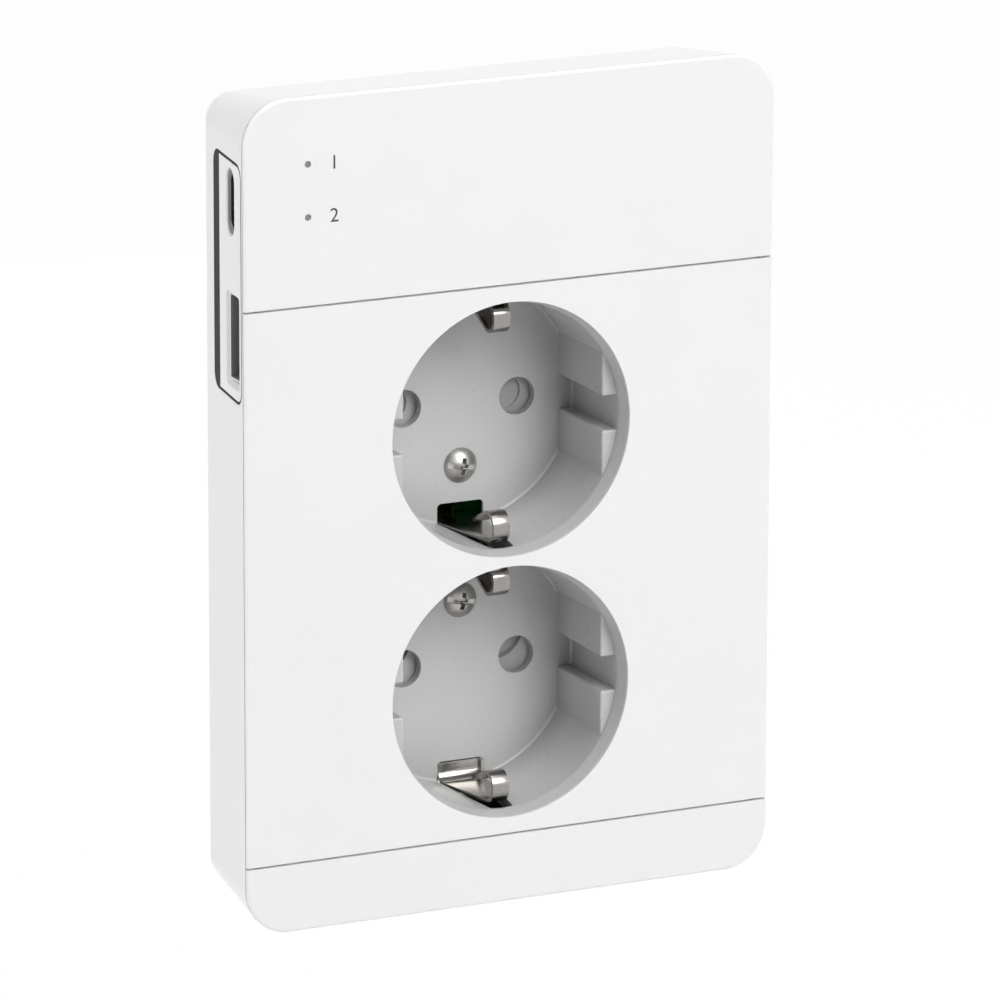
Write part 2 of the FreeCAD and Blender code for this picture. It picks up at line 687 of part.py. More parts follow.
def make_contact_base():
    outer = base_outline(BASE_R, BASE_FLAT, BASE_FRONT, BASE_BACK)
    inner_r = BASE_R - BASE_WALL
    inner_flat = BASE_FLAT - BASE_WALL
    front = base_outline(inner_r, inner_flat, BASE_FRONT - 1, BASE_FACE_Y)
    back = base_outline(inner_r, inner_flat, BASE_FACE_BACK, BASE_BACK + 1)
    body = outer.cut([front, back])
    adds = []
    for side in (-1, 1):
        adds.append(drum(side * EAR_X, 0, EAR_R, PLATE_BACK_Y, BASE_FACE_Y + 0.1))
    for z, side in wells():
        adds.append(drum(0, z - side * SCREW_DROP, SCREW_BOSS_R, FLOOR_BACK_Y, BASE_FACE_Y + 7))
        adds += shutter_guides(z, side)
        z0, z1 = flip(side * (BASE_R - BASE_WALL + 0.2), side * 10.5)
        for sx in (-1, 1):
            x = sx * (PIN_PITCH / 2 - PIN_R - CONTACT_T - 1.2)
            adds.append(box(x - 0.5, x + 0.5, BASE_FACE_BACK - 0.1, BASE_BACK - 6, z0, z1))
    body = fuse([body] + adds)
    tools = [drum(side * EAR_X, 0, EAR_HOLE_R, PLATE_BACK_Y - 1, BASE_FACE_BACK + 1) for side in (-1, 1)]
    for z, side in wells():
        screw_z = z - side * SCREW_DROP
        tools.append(drum(0, screw_z, COVER_SCREW_HOLE_R, FLOOR_BACK_Y - 1, BASE_FACE_Y + 8))
        for sx in (-1, 1):
            tools.append(drum(sx * PIN_PITCH / 2, z, PIN_HOLE_R + 0.15, BASE_FACE_Y - 1, BASE_FACE_BACK + 1))
    half = WELL_PITCH / 2 - 14.0
    tools.append(box(-4.4, 10.0, BASE_FACE_Y - 1, BASE_FACE_BACK + 1, -half, half))
    return body.cut(tools)


def terminal_places():
    return (("neutral", -CAGE_X), ("earth", 0.0), ("line", CAGE_X))


def make_rear_cover():
    plate = base_outline(BASE_R, BASE_FLAT, BASE_BACK, REAR_Y1)
    tongues = []
    inner = BASE_R - BASE_WALL - 0.1
    for sz in (-1, 1):
        z0, z1 = flip(sz * (inner - 1.3), sz * (inner - 0.3))
        tongues.append(box(-4, 4, BASE_BACK - 4, BASE_BACK + 0.1, z0, z1))
    plate = fuse([plate] + tongues)
    tools = []
    for _, x in terminal_places():
        for sx in (-1, 1):
            tools.append(drum(x + sx * WIRE_X, WIRE_Z, WIRE_HOLE_R, BASE_BACK - 1, REAR_Y1 + 1))
        w = LEVER_W + 2 * LEVER_CLEAR
        h = LEVER_H + 2 * LEVER_CLEAR
        tools.append(box(x - w / 2, x + w / 2, BASE_BACK - 1, REAR_Y1 + 1, LEVER_Z - h / 2, LEVER_Z + h / 2))
    return plate.cut(tools)


def shutter_ramp(x, z, side):
    """Tool for the round sloped recess that a pin pushes the shutter aside by."""
    dx, dz, r = UPPER_RAMP if side > 0 else LOWER_RAMP
    tilt = math.radians(SHUTTER_RAMP_TILT)
    axis = V(0, math.cos(tilt), -side * math.sin(tilt))
    ahead = 3.0
    start = V(x + dx, SHUTTER_Y0, z + dz) - axis * ahead
    return Part.makeCylinder(r, ahead + SHUTTER_RAMP_D, start, axis)


def make_shutter(z, side):
    """Two pads behind the pin holes, joined by a bridge that clears the screw boss."""
    y1 = SHUTTER_Y0 + SHUTTER_T
    half = PIN_PITCH / 2
    z0, z1 = flip(z - side * bridge_edge(), z + side * SHUTTER_PAD_H / 2)
    adds = [box(-half, half, SHUTTER_Y0, y1, z0, z1)]
    for sx in (-1, 1):
        pad = slab(SHUTTER_PAD_W, SHUTTER_PAD_H, SHUTTER_PAD_ROUND, sx * half, z, SHUTTER_Y0, y1)
        adds.append(pad)
    return fuse(adds).cut([shutter_ramp(sx * half, z, side) for sx in (-1, 1)])


def make_shutter_spring(z, side):
    """Arched leaf between its seats on the base and the shutter's bridge."""
    foot = spring_seat() - SPRING_T
    line = [(-SPRING_HALF, foot), (0.0, bridge_edge() + SPRING_T / 2), (SPRING_HALF, foot)]
    points = [(u, z - side * v) for u, v in line]
    face = strip_face(points, [1.5], SPRING_T, facing_y(SHUTTER_Y0 + 0.25))
    return face.extrude(V(0, SHUTTER_T - 0.5, 0))


def contact_tube(x, z, side):
    y0 = BASE_FACE_BACK
    r = PIN_R - CONTACT_BITE
    tube = drum(x, z, r + CONTACT_T + CONTACT_BITE, y0, y0 + CONTACT_L)
    bore = drum(x, z, r, y0 - 1, y0 + CONTACT_L + 1)
    x0, x1 = flip(x - side * 0.5, x - side * 5)
    slit = box(x0, x1, y0 - 1, y0 + CONTACT_L + 1, z - 0.5, z + 0.5)
    return tube, bore, slit


def make_busbar(side):
    """Strap with a pin contact behind each well, right for side 1."""
    x0, x1 = flip(side * (BUSBAR_X - BUSBAR_T), side * BUSBAR_X)
    half = WELL_PITCH / 2 + 2.6
    adds = [box(x0, x1, BASE_FACE_BACK + 1.2, BASE_FACE_BACK + 9.2, -half, half)]
    tools = []
    for z, _ in wells():
        tube, bore, slit = contact_tube(side * PIN_PITCH / 2, z, side)
        adds.append(tube)
        tools += [bore, slit]
    return fuse(adds).cut(tools)


def make_earth_strap():
    """One strip along the backs of both wells, set back where the middle clips stand."""
    flat_y = STRAP_Y0 + STRAP_T / 2
    web_y = STRAP_WEB_Y
    end = WELL_PITCH / 2 + WINDOW_R1 - 0.8
    near = WELL_PITCH / 2 - WINDOW_R0 + 1.0
    deep = WELL_PITCH / 2 - WINDOW_R0 + 0.3
    points = [(flat_y, end), (flat_y, near), (web_y, deep), (web_y, -deep), (flat_y, -near), (flat_y, -end)]
    face = strip_face(points, [1.0] * 4, STRAP_T, lambda u, v: V(-STRAP_W / 2, u, v))
    strap = face.extrude(V(STRAP_W, 0, 0))
    leg = box(-STRAP_W / 2, -STRAP_W / 2 + STRAP_T, web_y, CAGE_Y0, -3, 3)
    tools = [drum(0, z - side * SCREW_DROP, 2.0, STRAP_Y0 - 1, 1) for z, side in wells()]
    for side in (-1, 1):
        z0, z1 = flip(side * STRAP_BRIDGE, side * (deep - 0.2))
        tools.append(box(STRAP_RAIL_W - STRAP_W / 2, STRAP_W, web_y - 1, web_y + 1, z0, z1))
    return strap.fuse(leg).removeSplitter().cut(tools)


def clip_outline(nose_y, y_back):
    """Flat outline of a clip's arm, narrow at the nose and wide from the floor on."""
    nose = CLIP_NOSE_W / 2
    half = CLIP_W / 2
    y_nose = nose_y + CLIP_T
    y_wide = FLOOR_Y - CLIP_T
    right = [(nose, FRONT_Y), (nose, y_nose), (half, y_wide), (half, y_back)]
    return [(-x, y) for x, y in right] + right[::-1]


def make_earth_clip(z, way, middle):
    """Bent spring clip: foot, arm, round nose and a flange that turns back.

    An outer clip's foot lies in its window, and a middle clip's foot turns away from the well.
    """
    y_foot = STRAP_Y0 - CLIP_LIFT - CLIP_T / 2
    foot = WINDOW_R0 + CLIP_FOOT_FIT
    bend = CLIP_FOOT_BEND
    if middle:
        y_foot = STRAP_WEB_Y - STRAP_T / 2 - CLIP_LIFT - CLIP_T / 2
        foot = CLIP_ROOT_R + CLIP_TURN_L
        bend = CLIP_TURN_BEND
    nose_y = FRONT_Y + CLIP_NOSE_DROP + CLIP_T / 2
    tilt = math.radians(CLIP_FLANGE_TILT)
    low = CLIP_NOSE_R + CLIP_NOSE_BEND * (1 - math.tan(math.pi / 4 + tilt / 2))
    end = (nose_y + CLIP_FLANGE_L, low + CLIP_FLANGE_L * math.tan(tilt))
    points = [(y_foot, foot), (y_foot, CLIP_ROOT_R), (nose_y, CLIP_ARM_R), (nose_y, low), end]
    radii = [bend, CLIP_NOSE_BEND, CLIP_NOSE_BEND]
    half = CLIP_W / 2
    face = strip_face(points, radii, CLIP_T, lambda u, v: V(-half, u, z + way * v))
    sheet = face.extrude(V(CLIP_W, 0, 0))
    split = (end[1] + CLIP_ARM_R) / 2
    between = z + way * split
    inner = between if middle else z + way * (foot - 1)
    outer = z + way * (CLIP_ROOT_R + 2)
    corners = [V(x, y, inner) for x, y in clip_outline(nose_y, y_foot + 1)]
    taper = Part.Face(Part.makePolygon(corners + corners[:1])).extrude(V(0, 0, outer - inner))
    nose = CLIP_NOSE_W / 2
    flange = sheet.common(box(-nose, nose, FRONT_Y, end[0] + 1, *flip(z + way * (low - 1), between)))
    if middle:
        return fuse([sheet.common(taper), flange])
    back = box(-half, half, end[0] + 1.5, y_foot + 1, *flip(inner, outer))
    front = box(-half, half, FRONT_Y, end[0] + 1.5, *flip(between, outer))
    arm = sheet.common(taper).common(back.fuse(front))
    ear_x = flip(-way * (half - CLIP_T), -way * half)
    ear_z = flip(z + way * foot, z + way * (foot + CLIP_EAR_L))
    ear = box(*ear_x, y_foot - CLIP_T / 2 - CLIP_EAR_H, y_foot, *ear_z)
    return fuse([arm, flange, ear])


def make_cage(x):
    half_w = CAGE_W / 2
    half_h = CAGE_H / 2
    body = box(x - half_w, x + half_w, CAGE_Y0, CAGE_Y1, -half_h, half_h)
    inner_w = half_w - CAGE_T
    inner_h = half_h - CAGE_T
    return body.cut(box(x - inner_w, x + inner_w, CAGE_Y0 + CAGE_T, CAGE_Y1 + 1, -inner_h, inner_h))


def make_lever(x):
    y0 = CAGE_Y1 - 2.5
    y1 = REAR_Y1 + LEVER_OUT
    bar = box(x - LEVER_W / 2, x + LEVER_W / 2, y0, y1, LEVER_Z - LEVER_H / 2, LEVER_Z + LEVER_H / 2)
    wedge_points = [(y0 - 1, LEVER_Z), (y0 + 2.2, LEVER_Z - LEVER_H / 2 - 1), (y0 - 1, LEVER_Z - LEVER_H)]
    corners = [V(x - LEVER_W, y, z) for y, z in wedge_points]
    wedge = Part.Face(Part.makePolygon(corners + corners[:1])).extrude(V(2 * LEVER_W, 0, 0))
    slot = box(x - LEVER_W, x + LEVER_W, y1 - 0.7, y1 + 1, LEVER_Z - 0.35, LEVER_Z + 0.35)
    return bar.cut([wedge, slot])


def make_clamp_springs():
    """A looped leaf in each terminal cage."""
    leaves = []
    y0 = CAGE_Y0 + CAGE_T + 0.2
    top = CAGE_H / 2 - CAGE_T - 0.2
    for _, x in terminal_places():
        points = [(y0 + 5.5, top), (y0, top), (y0, -top + 1.0), (y0 + 5.0, -top + 1.6)]
        face = strip_face(points, [1.2, 1.2], 0.4, lambda u, v: V(x - 2.2, u, v))
        leaves.append(face.extrude(V(4.4, 0, 0)))
    return Part.makeCompound(leaves)


def make_cover_screw(z):
    """Domed head with a slot and a cross, on a shank into the base."""
    r = COVER_SCREW_R
    rise = COVER_SCREW_RISE
    ball_r = (r * r + rise * rise) / (2 * rise)
    top_y = FLOOR_Y - rise
    dome = Part.makeSphere(ball_r, V(0, top_y + ball_r, z)).common(drum(0, z, r, top_y - 1, FLOOR_Y))
    shank = drum(0, z, COVER_SCREW_SHANK_R, FLOOR_Y - 0.1, BASE_FACE_Y + 6)
    deep = top_y + COVER_SCREW_SLOT_D
    half = COVER_SCREW_SLOT_W / 2
    arm = COVER_SCREW_CROSS_W / 2
    reach = COVER_SCREW_CROSS_L / 2
    slot = box(-r - 1, r + 1, top_y - 1, deep, z - half, z + half)
    cross = box(-arm, arm, top_y - 1, deep + 0.2, z - reach, z + reach)
    return dome.fuse(shank).removeSplitter().cut([slot, cross])


def small_screw(x, z, head_y, tip_y, shank_r, head_r, head_h):
    head = drum(x, z, head_r, head_y - head_h, head_y)
    shank = drum(x, z, shank_r, head_y - 0.1, tip_y)
    slot = box(x - head_r, x + head_r, head_y - head_h - 1, head_y - head_h / 2, z - 0.3, z + 0.3)
    return head.fuse(shank).removeSplitter().cut(slot)


def make_power_board():
    x1 = BUSBAR_X - BUSBAR_T - POWER_BOARD_GAP
    x0 = x1 - POWER_BOARD_W
    y0 = BASE_FACE_BACK + POWER_BOARD_SET
    half = POWER_BOARD_H / 2
    board = box(x0, x1, y0, y0 + POWER_BOARD_T, -half, half)
    low = 0.6 - half
    small = box(x0 + 1.4, x0 + 3.4, y0 - 0.8, y0, low, low + 1.9)
    large = box(x0 + 4.4, x0 + 6.9, y0 - 1.2, y0, low, low + 2.4)
    return fuse([board, small, large])


def board_blank():
    main = box(-BOARD_X, BOARD_X, BOARD_FACE_Y, BOARD_BACK_Y, BOARD_Z0, BOARD_Z1)
    leg_z = BOARD_Z0 - BOARD_LEG_L
    leg = box(-BOARD_X, BOARD_LEG_W - BOARD_X, BOARD_FACE_Y, BOARD_BACK_Y, leg_z, BOARD_Z0 + 0.1)
    return main.fuse(leg).removeSplitter()


def make_usb_board():
    holes = [drum(x, z, BOARD_SCREW_R + 0.1, BOARD_FACE_Y - 1, BOARD_BACK_Y + 1) for x, z in post_places()]
    return board_blank().cut(holes)


def shell_places():
    return (
        ("c", USB_C_Y, USB_C_Z, USB_C_SIZE, USB_C_L, USB_C_SIZE[0] / 2 - 0.01),
        ("a", USB_A_Y, USB_A_Z, USB_A_SIZE, USB_A_L, 0.6),
    )


def make_shell(y, z, size, length, r):
    """Metal sleeve of a port, closed at its inner end."""
    w, h = size
    x0 = side_x(y, 0) + SHELL_SET
    outer = side_slab(w, h, r, y, z, x0, x0 + length)
    inner_r = max(r - SHELL_T, 0.2)
    inner_x = x0 + length - TONGUE_ROOT
    inner = side_slab(w - 2 * SHELL_T, h - 2 * SHELL_T, inner_r, y, z, x0 - 1, inner_x)
    return outer.cut(inner)


def make_tongue(y, z, w, h, x0, x1):
    return side_slab(w, h, 0.2, y, z, x0, x1)


def make_port_surround():
    fit = INLAY_FIT
    frame = panel_bar(PANEL_Y0 + fit, PANEL_Y1 - fit, fit, PANEL_R - fit)
    return frame.common(side_skin(0, PANEL_T)).cut(panel_field(0))


def make_port_panel():
    tools = port_cutters(-2 * INLAY_FIT, -FACE_W / 4)
    tools.append(lead_in(USB_C_Y, USB_C_Z, USB_C_OPEN, USB_C_OPEN[0] / 2 - 0.01, USB_C_LEAD))
    tools.append(lead_in(USB_A_Y, USB_A_Z, USB_A_OPEN, USB_A_ROUND, USB_A_LEAD))
    return panel_field(INLAY_FIT).common(side_skin(0, PANEL_T)).cut(tools)


def make_light_pipe(z):
    stem = drum(LED_X, z, PIPE_R, FRONT_Y + PIPE_SET, BOARD_FACE_Y - LED_H)
    flange = drum(LED_X, z, PIPE_FLANGE_R, COVER_BACK_Y, COVER_BACK_Y + 0.8)
    return stem.fuse(flange).removeSplitter()


def make_transformer():
    """Ferrite core with an outer limb at each end and a round wound coil between them."""
    w, d, h = CORE_SIZE
    x = CORE_AT[0]
    z = BOARD_MID_Z + CORE_AT[1]
    y0 = BOARD_BACK_Y
    core = box(x - w / 2, x + w / 2, y0, y0 + d, z - h / 2, z + h / 2)
    gaps = []
    for side in (-1, 1):
        x0, x1 = flip(x + side * (w / 2 - CORE_LIMB), x + side * (w / 2 - 2 * CORE_LIMB))
        gaps.append(box(x0, x1, y0 + 1.0, y0 + d + 1, z - h, z + h))
    return fuse([core.cut(gaps), drum(x, z, COIL_R, y0 + 1.2, y0 + d - 1.0)])


def capacitor(x0, length, z, r):
    """Can lying on the back of the board, with a crimp near its open end."""
    y = BOARD_BACK_Y + r
    can = Part.makeCylinder(r, length, V(x0, y, z), V(1, 0, 0))
    ring = Part.makeTorus(r + 0.25, 0.55, V(x0 + length - 2.0, y, z), V(1, 0, 0))
    return can.cut(ring)


def save(name, shape):
    shape.exportStep("parts/%s.step" % name)
    print("%-24s solids %d volume %.2f valid %s" % (name, len(shape.Solids), shape.Volume, shape.isValid()))


def export_case():
    blank = cover_blank()
    save("housing", make_housing())
    save("top_cover", make_end_cover(blank, 1))
    save("socket_cover", make_socket_cover(blank))
    save("bottom_cover", make_end_cover(blank, -1))
    save("well_moulding", make_well_moulding())
    save("mounting_plate", make_mounting_plate())


def export_socket_works():
    save("contact_base", make_contact_base())
    save("rear_cover", make_rear_cover())
    save("line_busbar", make_busbar(1))
    save("neutral_busbar", make_busbar(-1))
    save("earth_strap", make_earth_strap())
    save("power_board", make_power_board())
    save("clamp_springs", make_clamp_springs())
    number = 0
    for name, (z, side) in zip(("upper", "lower"), wells()):
        save(name + "_shutter", make_shutter(z, side))
        save(name + "_shutter_spring", make_shutter_spring(z, side))
        save(name + "_cover_screw", make_cover_screw(z - side * SCREW_DROP))
        for way, middle in clip_sides(side):
            number += 1
            save("earth_clip_%d" % number, make_earth_clip(z, way, middle))
    for name, x in terminal_places():
        save(name + "_terminal", make_cage(x))
        save(name + "_lever", make_lever(x))
    shank_r = EAR_HOLE_R - 0.02
    ears = [
        small_screw(side * EAR_X, 0, PLATE_FACE_Y, BASE_FACE_BACK, shank_r, 2.7, 1.6) for side in (-1, 1)
    ]
    save("base_screws", Part.makeCompound(ears))


def export_usb_works():
    save("usb_board", make_usb_board())
    for name, y, z, size, length, r in shell_places():
        save("usb_%s_shell" % name, make_shell(y, z, size, length, r))
    back = side_x(USB_C_Y, 0) + SHELL_SET + USB_C_L - TONGUE_ROOT
    save("usb_c_tongue", make_tongue(USB_C_Y, USB_C_Z, 0.7, 6.7, back - 5.3, back))
    back = side_x(USB_A_Y, 0) + SHELL_SET + USB_A_L - TONGUE_ROOT
    save("usb_a_tongue", make_tongue(USB_A_Y + 1.1, USB_A_Z, 1.8, 11.1, back - 10.5, back))
    save("port_surround", make_port_surround())
    save("port_panel", make_port_panel())
    for name, z in zip(("upper", "lower"), LED_Z):
        save(name + "_light_pipe", make_light_pipe(z))
    led_y = BOARD_FACE_Y - LED_H
    leds = [box(LED_X - 0.8, LED_X + 0.8, led_y, BOARD_FACE_Y, z - 0.4, z + 0.4) for z in LED_Z]
    save("indicator_leds", Part.makeCompound(leds))
    save("transformer", make_transformer())
    mid = BOARD_MID_Z
    save("input_capacitor", capacitor(18.0, 12.0, mid + 1.6, 3.6))
    save("output_capacitor", capacitor(-20.0, 10.0, mid - 4.4, 3.1))
    save("choke", drum(-14.5, mid + 5.6, 3.4, BOARD_BACK_Y, BOARD_BACK_Y + 5.0))
    save("charge_controller", box(-14, -8, BOARD_FACE_Y - 1.2, BOARD_FACE_Y, mid - 4.4, mid + 1.6))
    screws = [
        small_screw(x, z, BOARD_FACE_Y, BOARD_BACK_Y + 5.0, BOARD_SCREW_R - 0.02, 2.0, 1.4)
        for x, z in post_places()
    ]
    save("board_screws", Part.makeCompound(screws))


def main():
    os.makedirs("parts", exist_ok=True)
    export_case()
    export_socket_works()
    export_usb_works()


main()
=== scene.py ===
"""Looks of a vertical wall socket with two round earthed wells and a charger whose ports are on its left.

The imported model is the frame. The script dresses each of its nodes in a finish, and adds the pieces
that need more detail than the frame has: clips with rolled edges, screws with a slot and a cross recess,
the flared lips of the two ports, and printed numbers.
"""

import logging
import math
from dataclasses import dataclass
from enum import Enum

import bmesh
import bpy
from mathutils import Matrix, Vector


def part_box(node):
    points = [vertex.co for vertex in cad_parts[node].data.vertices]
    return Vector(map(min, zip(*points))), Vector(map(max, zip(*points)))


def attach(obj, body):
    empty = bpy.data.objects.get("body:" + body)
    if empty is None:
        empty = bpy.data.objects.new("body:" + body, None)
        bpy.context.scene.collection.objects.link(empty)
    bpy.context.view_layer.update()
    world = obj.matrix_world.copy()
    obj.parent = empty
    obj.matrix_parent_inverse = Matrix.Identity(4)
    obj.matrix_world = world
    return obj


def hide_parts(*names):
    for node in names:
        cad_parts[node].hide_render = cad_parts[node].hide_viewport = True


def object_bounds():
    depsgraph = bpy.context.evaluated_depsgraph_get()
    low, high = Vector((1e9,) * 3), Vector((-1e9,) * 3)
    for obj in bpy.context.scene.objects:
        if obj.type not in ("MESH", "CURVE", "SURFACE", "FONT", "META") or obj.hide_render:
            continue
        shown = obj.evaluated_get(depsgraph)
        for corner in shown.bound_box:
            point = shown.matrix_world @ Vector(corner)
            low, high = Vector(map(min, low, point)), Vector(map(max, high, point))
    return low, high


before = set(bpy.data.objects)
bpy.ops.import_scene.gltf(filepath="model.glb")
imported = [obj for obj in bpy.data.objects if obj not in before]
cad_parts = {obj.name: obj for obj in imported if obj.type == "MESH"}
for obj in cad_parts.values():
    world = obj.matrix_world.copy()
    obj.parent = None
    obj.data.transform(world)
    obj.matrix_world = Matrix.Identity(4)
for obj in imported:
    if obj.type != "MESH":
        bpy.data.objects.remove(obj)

LOG = logging.getLogger("wall_socket")
CAD_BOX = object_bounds()
MM = 0.001
MERGE_MM = 0.002  # Corners nearer than this are one.
SMOOTH_DEG = 35.0  # Faces that meet at less than this shade as one.
NOISE_SPAN = {"From Min": 0.3, "From Max": 0.7}  # Noise seldom leaves this span.

Colour = tuple[float, float, float, float]


def linear(hex_colour: str) -> Colour:
    """Turns an sRGB hex colour into linear light.

    Args:
        hex_colour: Six hex digits after a hash sign, as written in a paint chart.

    Returns:
        Red, green, blue and an alpha of 1, ready for a node socket.
    """
    digits = hex_colour.lstrip("#")
    levels = [int(digits[i : i + 2], 16) / 255 for i in (0, 2, 4)]
    light = [c / 12.92 if c <= 0.04045 else ((c + 0.055) / 1.055) ** 2.4 for c in levels]
    return light[0], light[1], light[2], 1.0


def add_node(
    tree: bpy.types.NodeTree,
    kind: str,
    values: dict[str | int, object] | None = None,
    links: dict[str | int, bpy.types.NodeSocket] | None = None,
    **settings: object,
) -> bpy.types.Node:
    """Adds a node with its settings, socket values and incoming links.

    Args:
        tree: The node tree that gets the node.
        kind: Blender's name of the node type.
        values: Numbers or colours for the input sockets, by socket name or number.
        links: Output sockets that feed the input sockets, by socket name or number.
        **settings: Properties of the node itself.

    Returns:
        The new node.
    """
    node = tree.nodes.new(kind)
    for name, value in settings.items():
        setattr(node, name, value)
    for key, value in (values or {}).items():
        node.inputs[key].default_value = value
    for key, socket in (links or {}).items():
        tree.links.new(socket, node.inputs[key])
    return node


def seen(tree: bpy.types.NodeTree) -> bpy.types.NodeSocket:
    """A factor of 1 for what the camera sees, direct or in metal and glass.

    Args:
        tree: The tree that uses the factor.

    Returns:
        The factor's socket.
    """
    path = add_node(tree, "ShaderNodeLightPath")
    mirrored = add_node(
        tree,
        "ShaderNodeMath",
        links={0: path.outputs["Is Glossy Ray"], 1: path.outputs["Is Transmission Ray"]},
        operation="MAXIMUM",
    )
    both = add_node(
        tree,
        "ShaderNodeMath",
        links={0: path.outputs["Is Camera Ray"], 1: mirrored.outputs["Value"]},
        operation="MAXIMUM",
    )
    return both.outputs["Value"]


@dataclass(frozen=True)
class Finish:
    """What every finish has: a name, a main colour and a surface of its own."""

    name: str
    colour: str

    def build(self) -> bpy.types.Material:
        """Makes the material round the finish's surface.

        Returns:
            The material.
        """
        material = bpy.data.materials.new(self.name)
        material.use_nodes = True
        tree = material.node_tree
        tree.nodes.clear()
        where = add_node(tree, "ShaderNodeTexCoord").outputs["Object"]
        add_node(tree, "ShaderNodeOutputMaterial", links={"Surface": self.surface(tree, where)})
        return material

    def surface(self, tree: bpy.types.NodeTree, where: bpy.types.NodeSocket) -> bpy.types.NodeSocket:
        """Adds the nodes of the finish.

        Args:
            tree: The material's node tree.
            where: Object coordinates in metres.

        Returns:
            The socket of the finished shader.
        """
        raise NotImplementedError

    def toned(self, share: float) -> Colour:
        """The main colour with only a share of its light."""
        red, green, blue, _ = linear(self.colour)
        return red * share, green * share, blue * share, 1.0

    def paint_corner_shade(
        self, tree: bpy.types.NodeTree, colour: bpy.types.NodeSocket, share: float, reach_mm: float
    ) -> bpy.types.NodeSocket:
        """Paints shade into a colour where other faces stand close, darker as in a deep recess that little
        light reaches.

        Args:
            tree: The material's node tree.
            colour: The socket with the colour of an open face.
            share: How much of the main colour a closed corner loses.
            reach_mm: How near another face must be to count.

        Returns:
            The socket with the blended colour.
        """
        # Painted shade: the occlusion factor darkens the colour in corners and recesses.
        near = add_node(tree, "ShaderNodeAmbientOcclusion", {"Distance": reach_mm * MM}, samples=12)
        blend = add_node(
            tree,
            "ShaderNodeMix",
            {"A": self.toned(1 - share)},
            {"Factor": near.outputs["AO"], "B": colour},
            data_type="RGBA",
        )
        return blend.outputs["Result"]


@dataclass(frozen=True)
class MouldedPlastic(Finish):
    """A moulded plastic with the fine texture that its mould was eroded with.

    The texture softens highlights and hides flow marks, so the eye sees an even satin skin. A real grain
    is too fine to show, so it is drawn coarser.
    """

    roughness: float = 0.4
    ior: float = 1.53
    gloss: float = 0.5
    gloss_drift: float = 0.03
    grain_mm: float = 0.35
    grain_depth_mm: float = 0.004
    flow_mm: float = 18.0
    tint: float = 0.012
    edge_mm: float = 0.0
    # Painted shade in corners: how much colour a closed corner loses, and how near faces must be.
    corner_shade: float = 0.0
    corner_reach_mm: float = 7.0

    def surface(self, tree: bpy.types.NodeTree, where: bpy.types.NodeSocket) -> bpy.types.NodeSocket:
        """Adds the plastic's grain, its slow drift in shade, and its softened edges.

        Args:
            tree: The material's node tree.
            where: Object coordinates in metres.

        Returns:
            The socket of the finished shader.
        """
        grain = add_node(
            tree,
            "ShaderNodeTexNoise",
            {"Scale": 1 / (self.grain_mm * MM), "Detail": 2.0, "Roughness": 0.6},
            {"Vector": where},
        )
        heights = {"Height": grain.outputs["Fac"]}
        if self.edge_mm:
            soft = add_node(tree, "ShaderNodeBevel", {"Radius": self.edge_mm * MM}, samples=6)
            heights["Normal"] = soft.outputs["Normal"]
        bump = add_node(
            tree, "ShaderNodeBump", {"Strength": 0.6, "Distance": self.grain_depth_mm * MM}, heights
        )
        flow = add_node(
            tree,
            "ShaderNodeTexNoise",
            {"Scale": 1 / (self.flow_mm * MM), "Detail": 1.0},
            {"Vector": where},
        )
        drift = add_node(tree, "ShaderNodeMapRange", NOISE_SPAN, {"Value": flow.outputs["Fac"]})
        colour = add_node(
            tree,
            "ShaderNodeMix",
            {"A": self.toned(1 - self.tint), "B": self.toned(1)},
            {"Factor": drift.outputs["Result"]},
            data_type="RGBA",
        ).outputs["Result"]
        # Painted shade: the colour darkens where other faces stand close.
        if self.corner_shade:
            colour = self.paint_corner_shade(tree, colour, self.corner_shade, self.corner_reach_mm)
        low, high = self.roughness - self.gloss_drift, self.roughness + self.gloss_drift
        satin = add_node(
            tree,
            "ShaderNodeMapRange",
            NOISE_SPAN | {"To Min": low, "To Max": high},
            {"Value": grain.outputs["Fac"]},
        )
        skin = add_node(
            tree,
            "ShaderNodeBsdfPrincipled",
            {"IOR": self.ior, "Specular IOR Level": self.gloss},
            {
                "Base Color": colour,
                "Roughness": satin.outputs["Result"],
                "Normal": bump.outputs["Normal"],
            },
        )
        return skin.outputs["BSDF"]


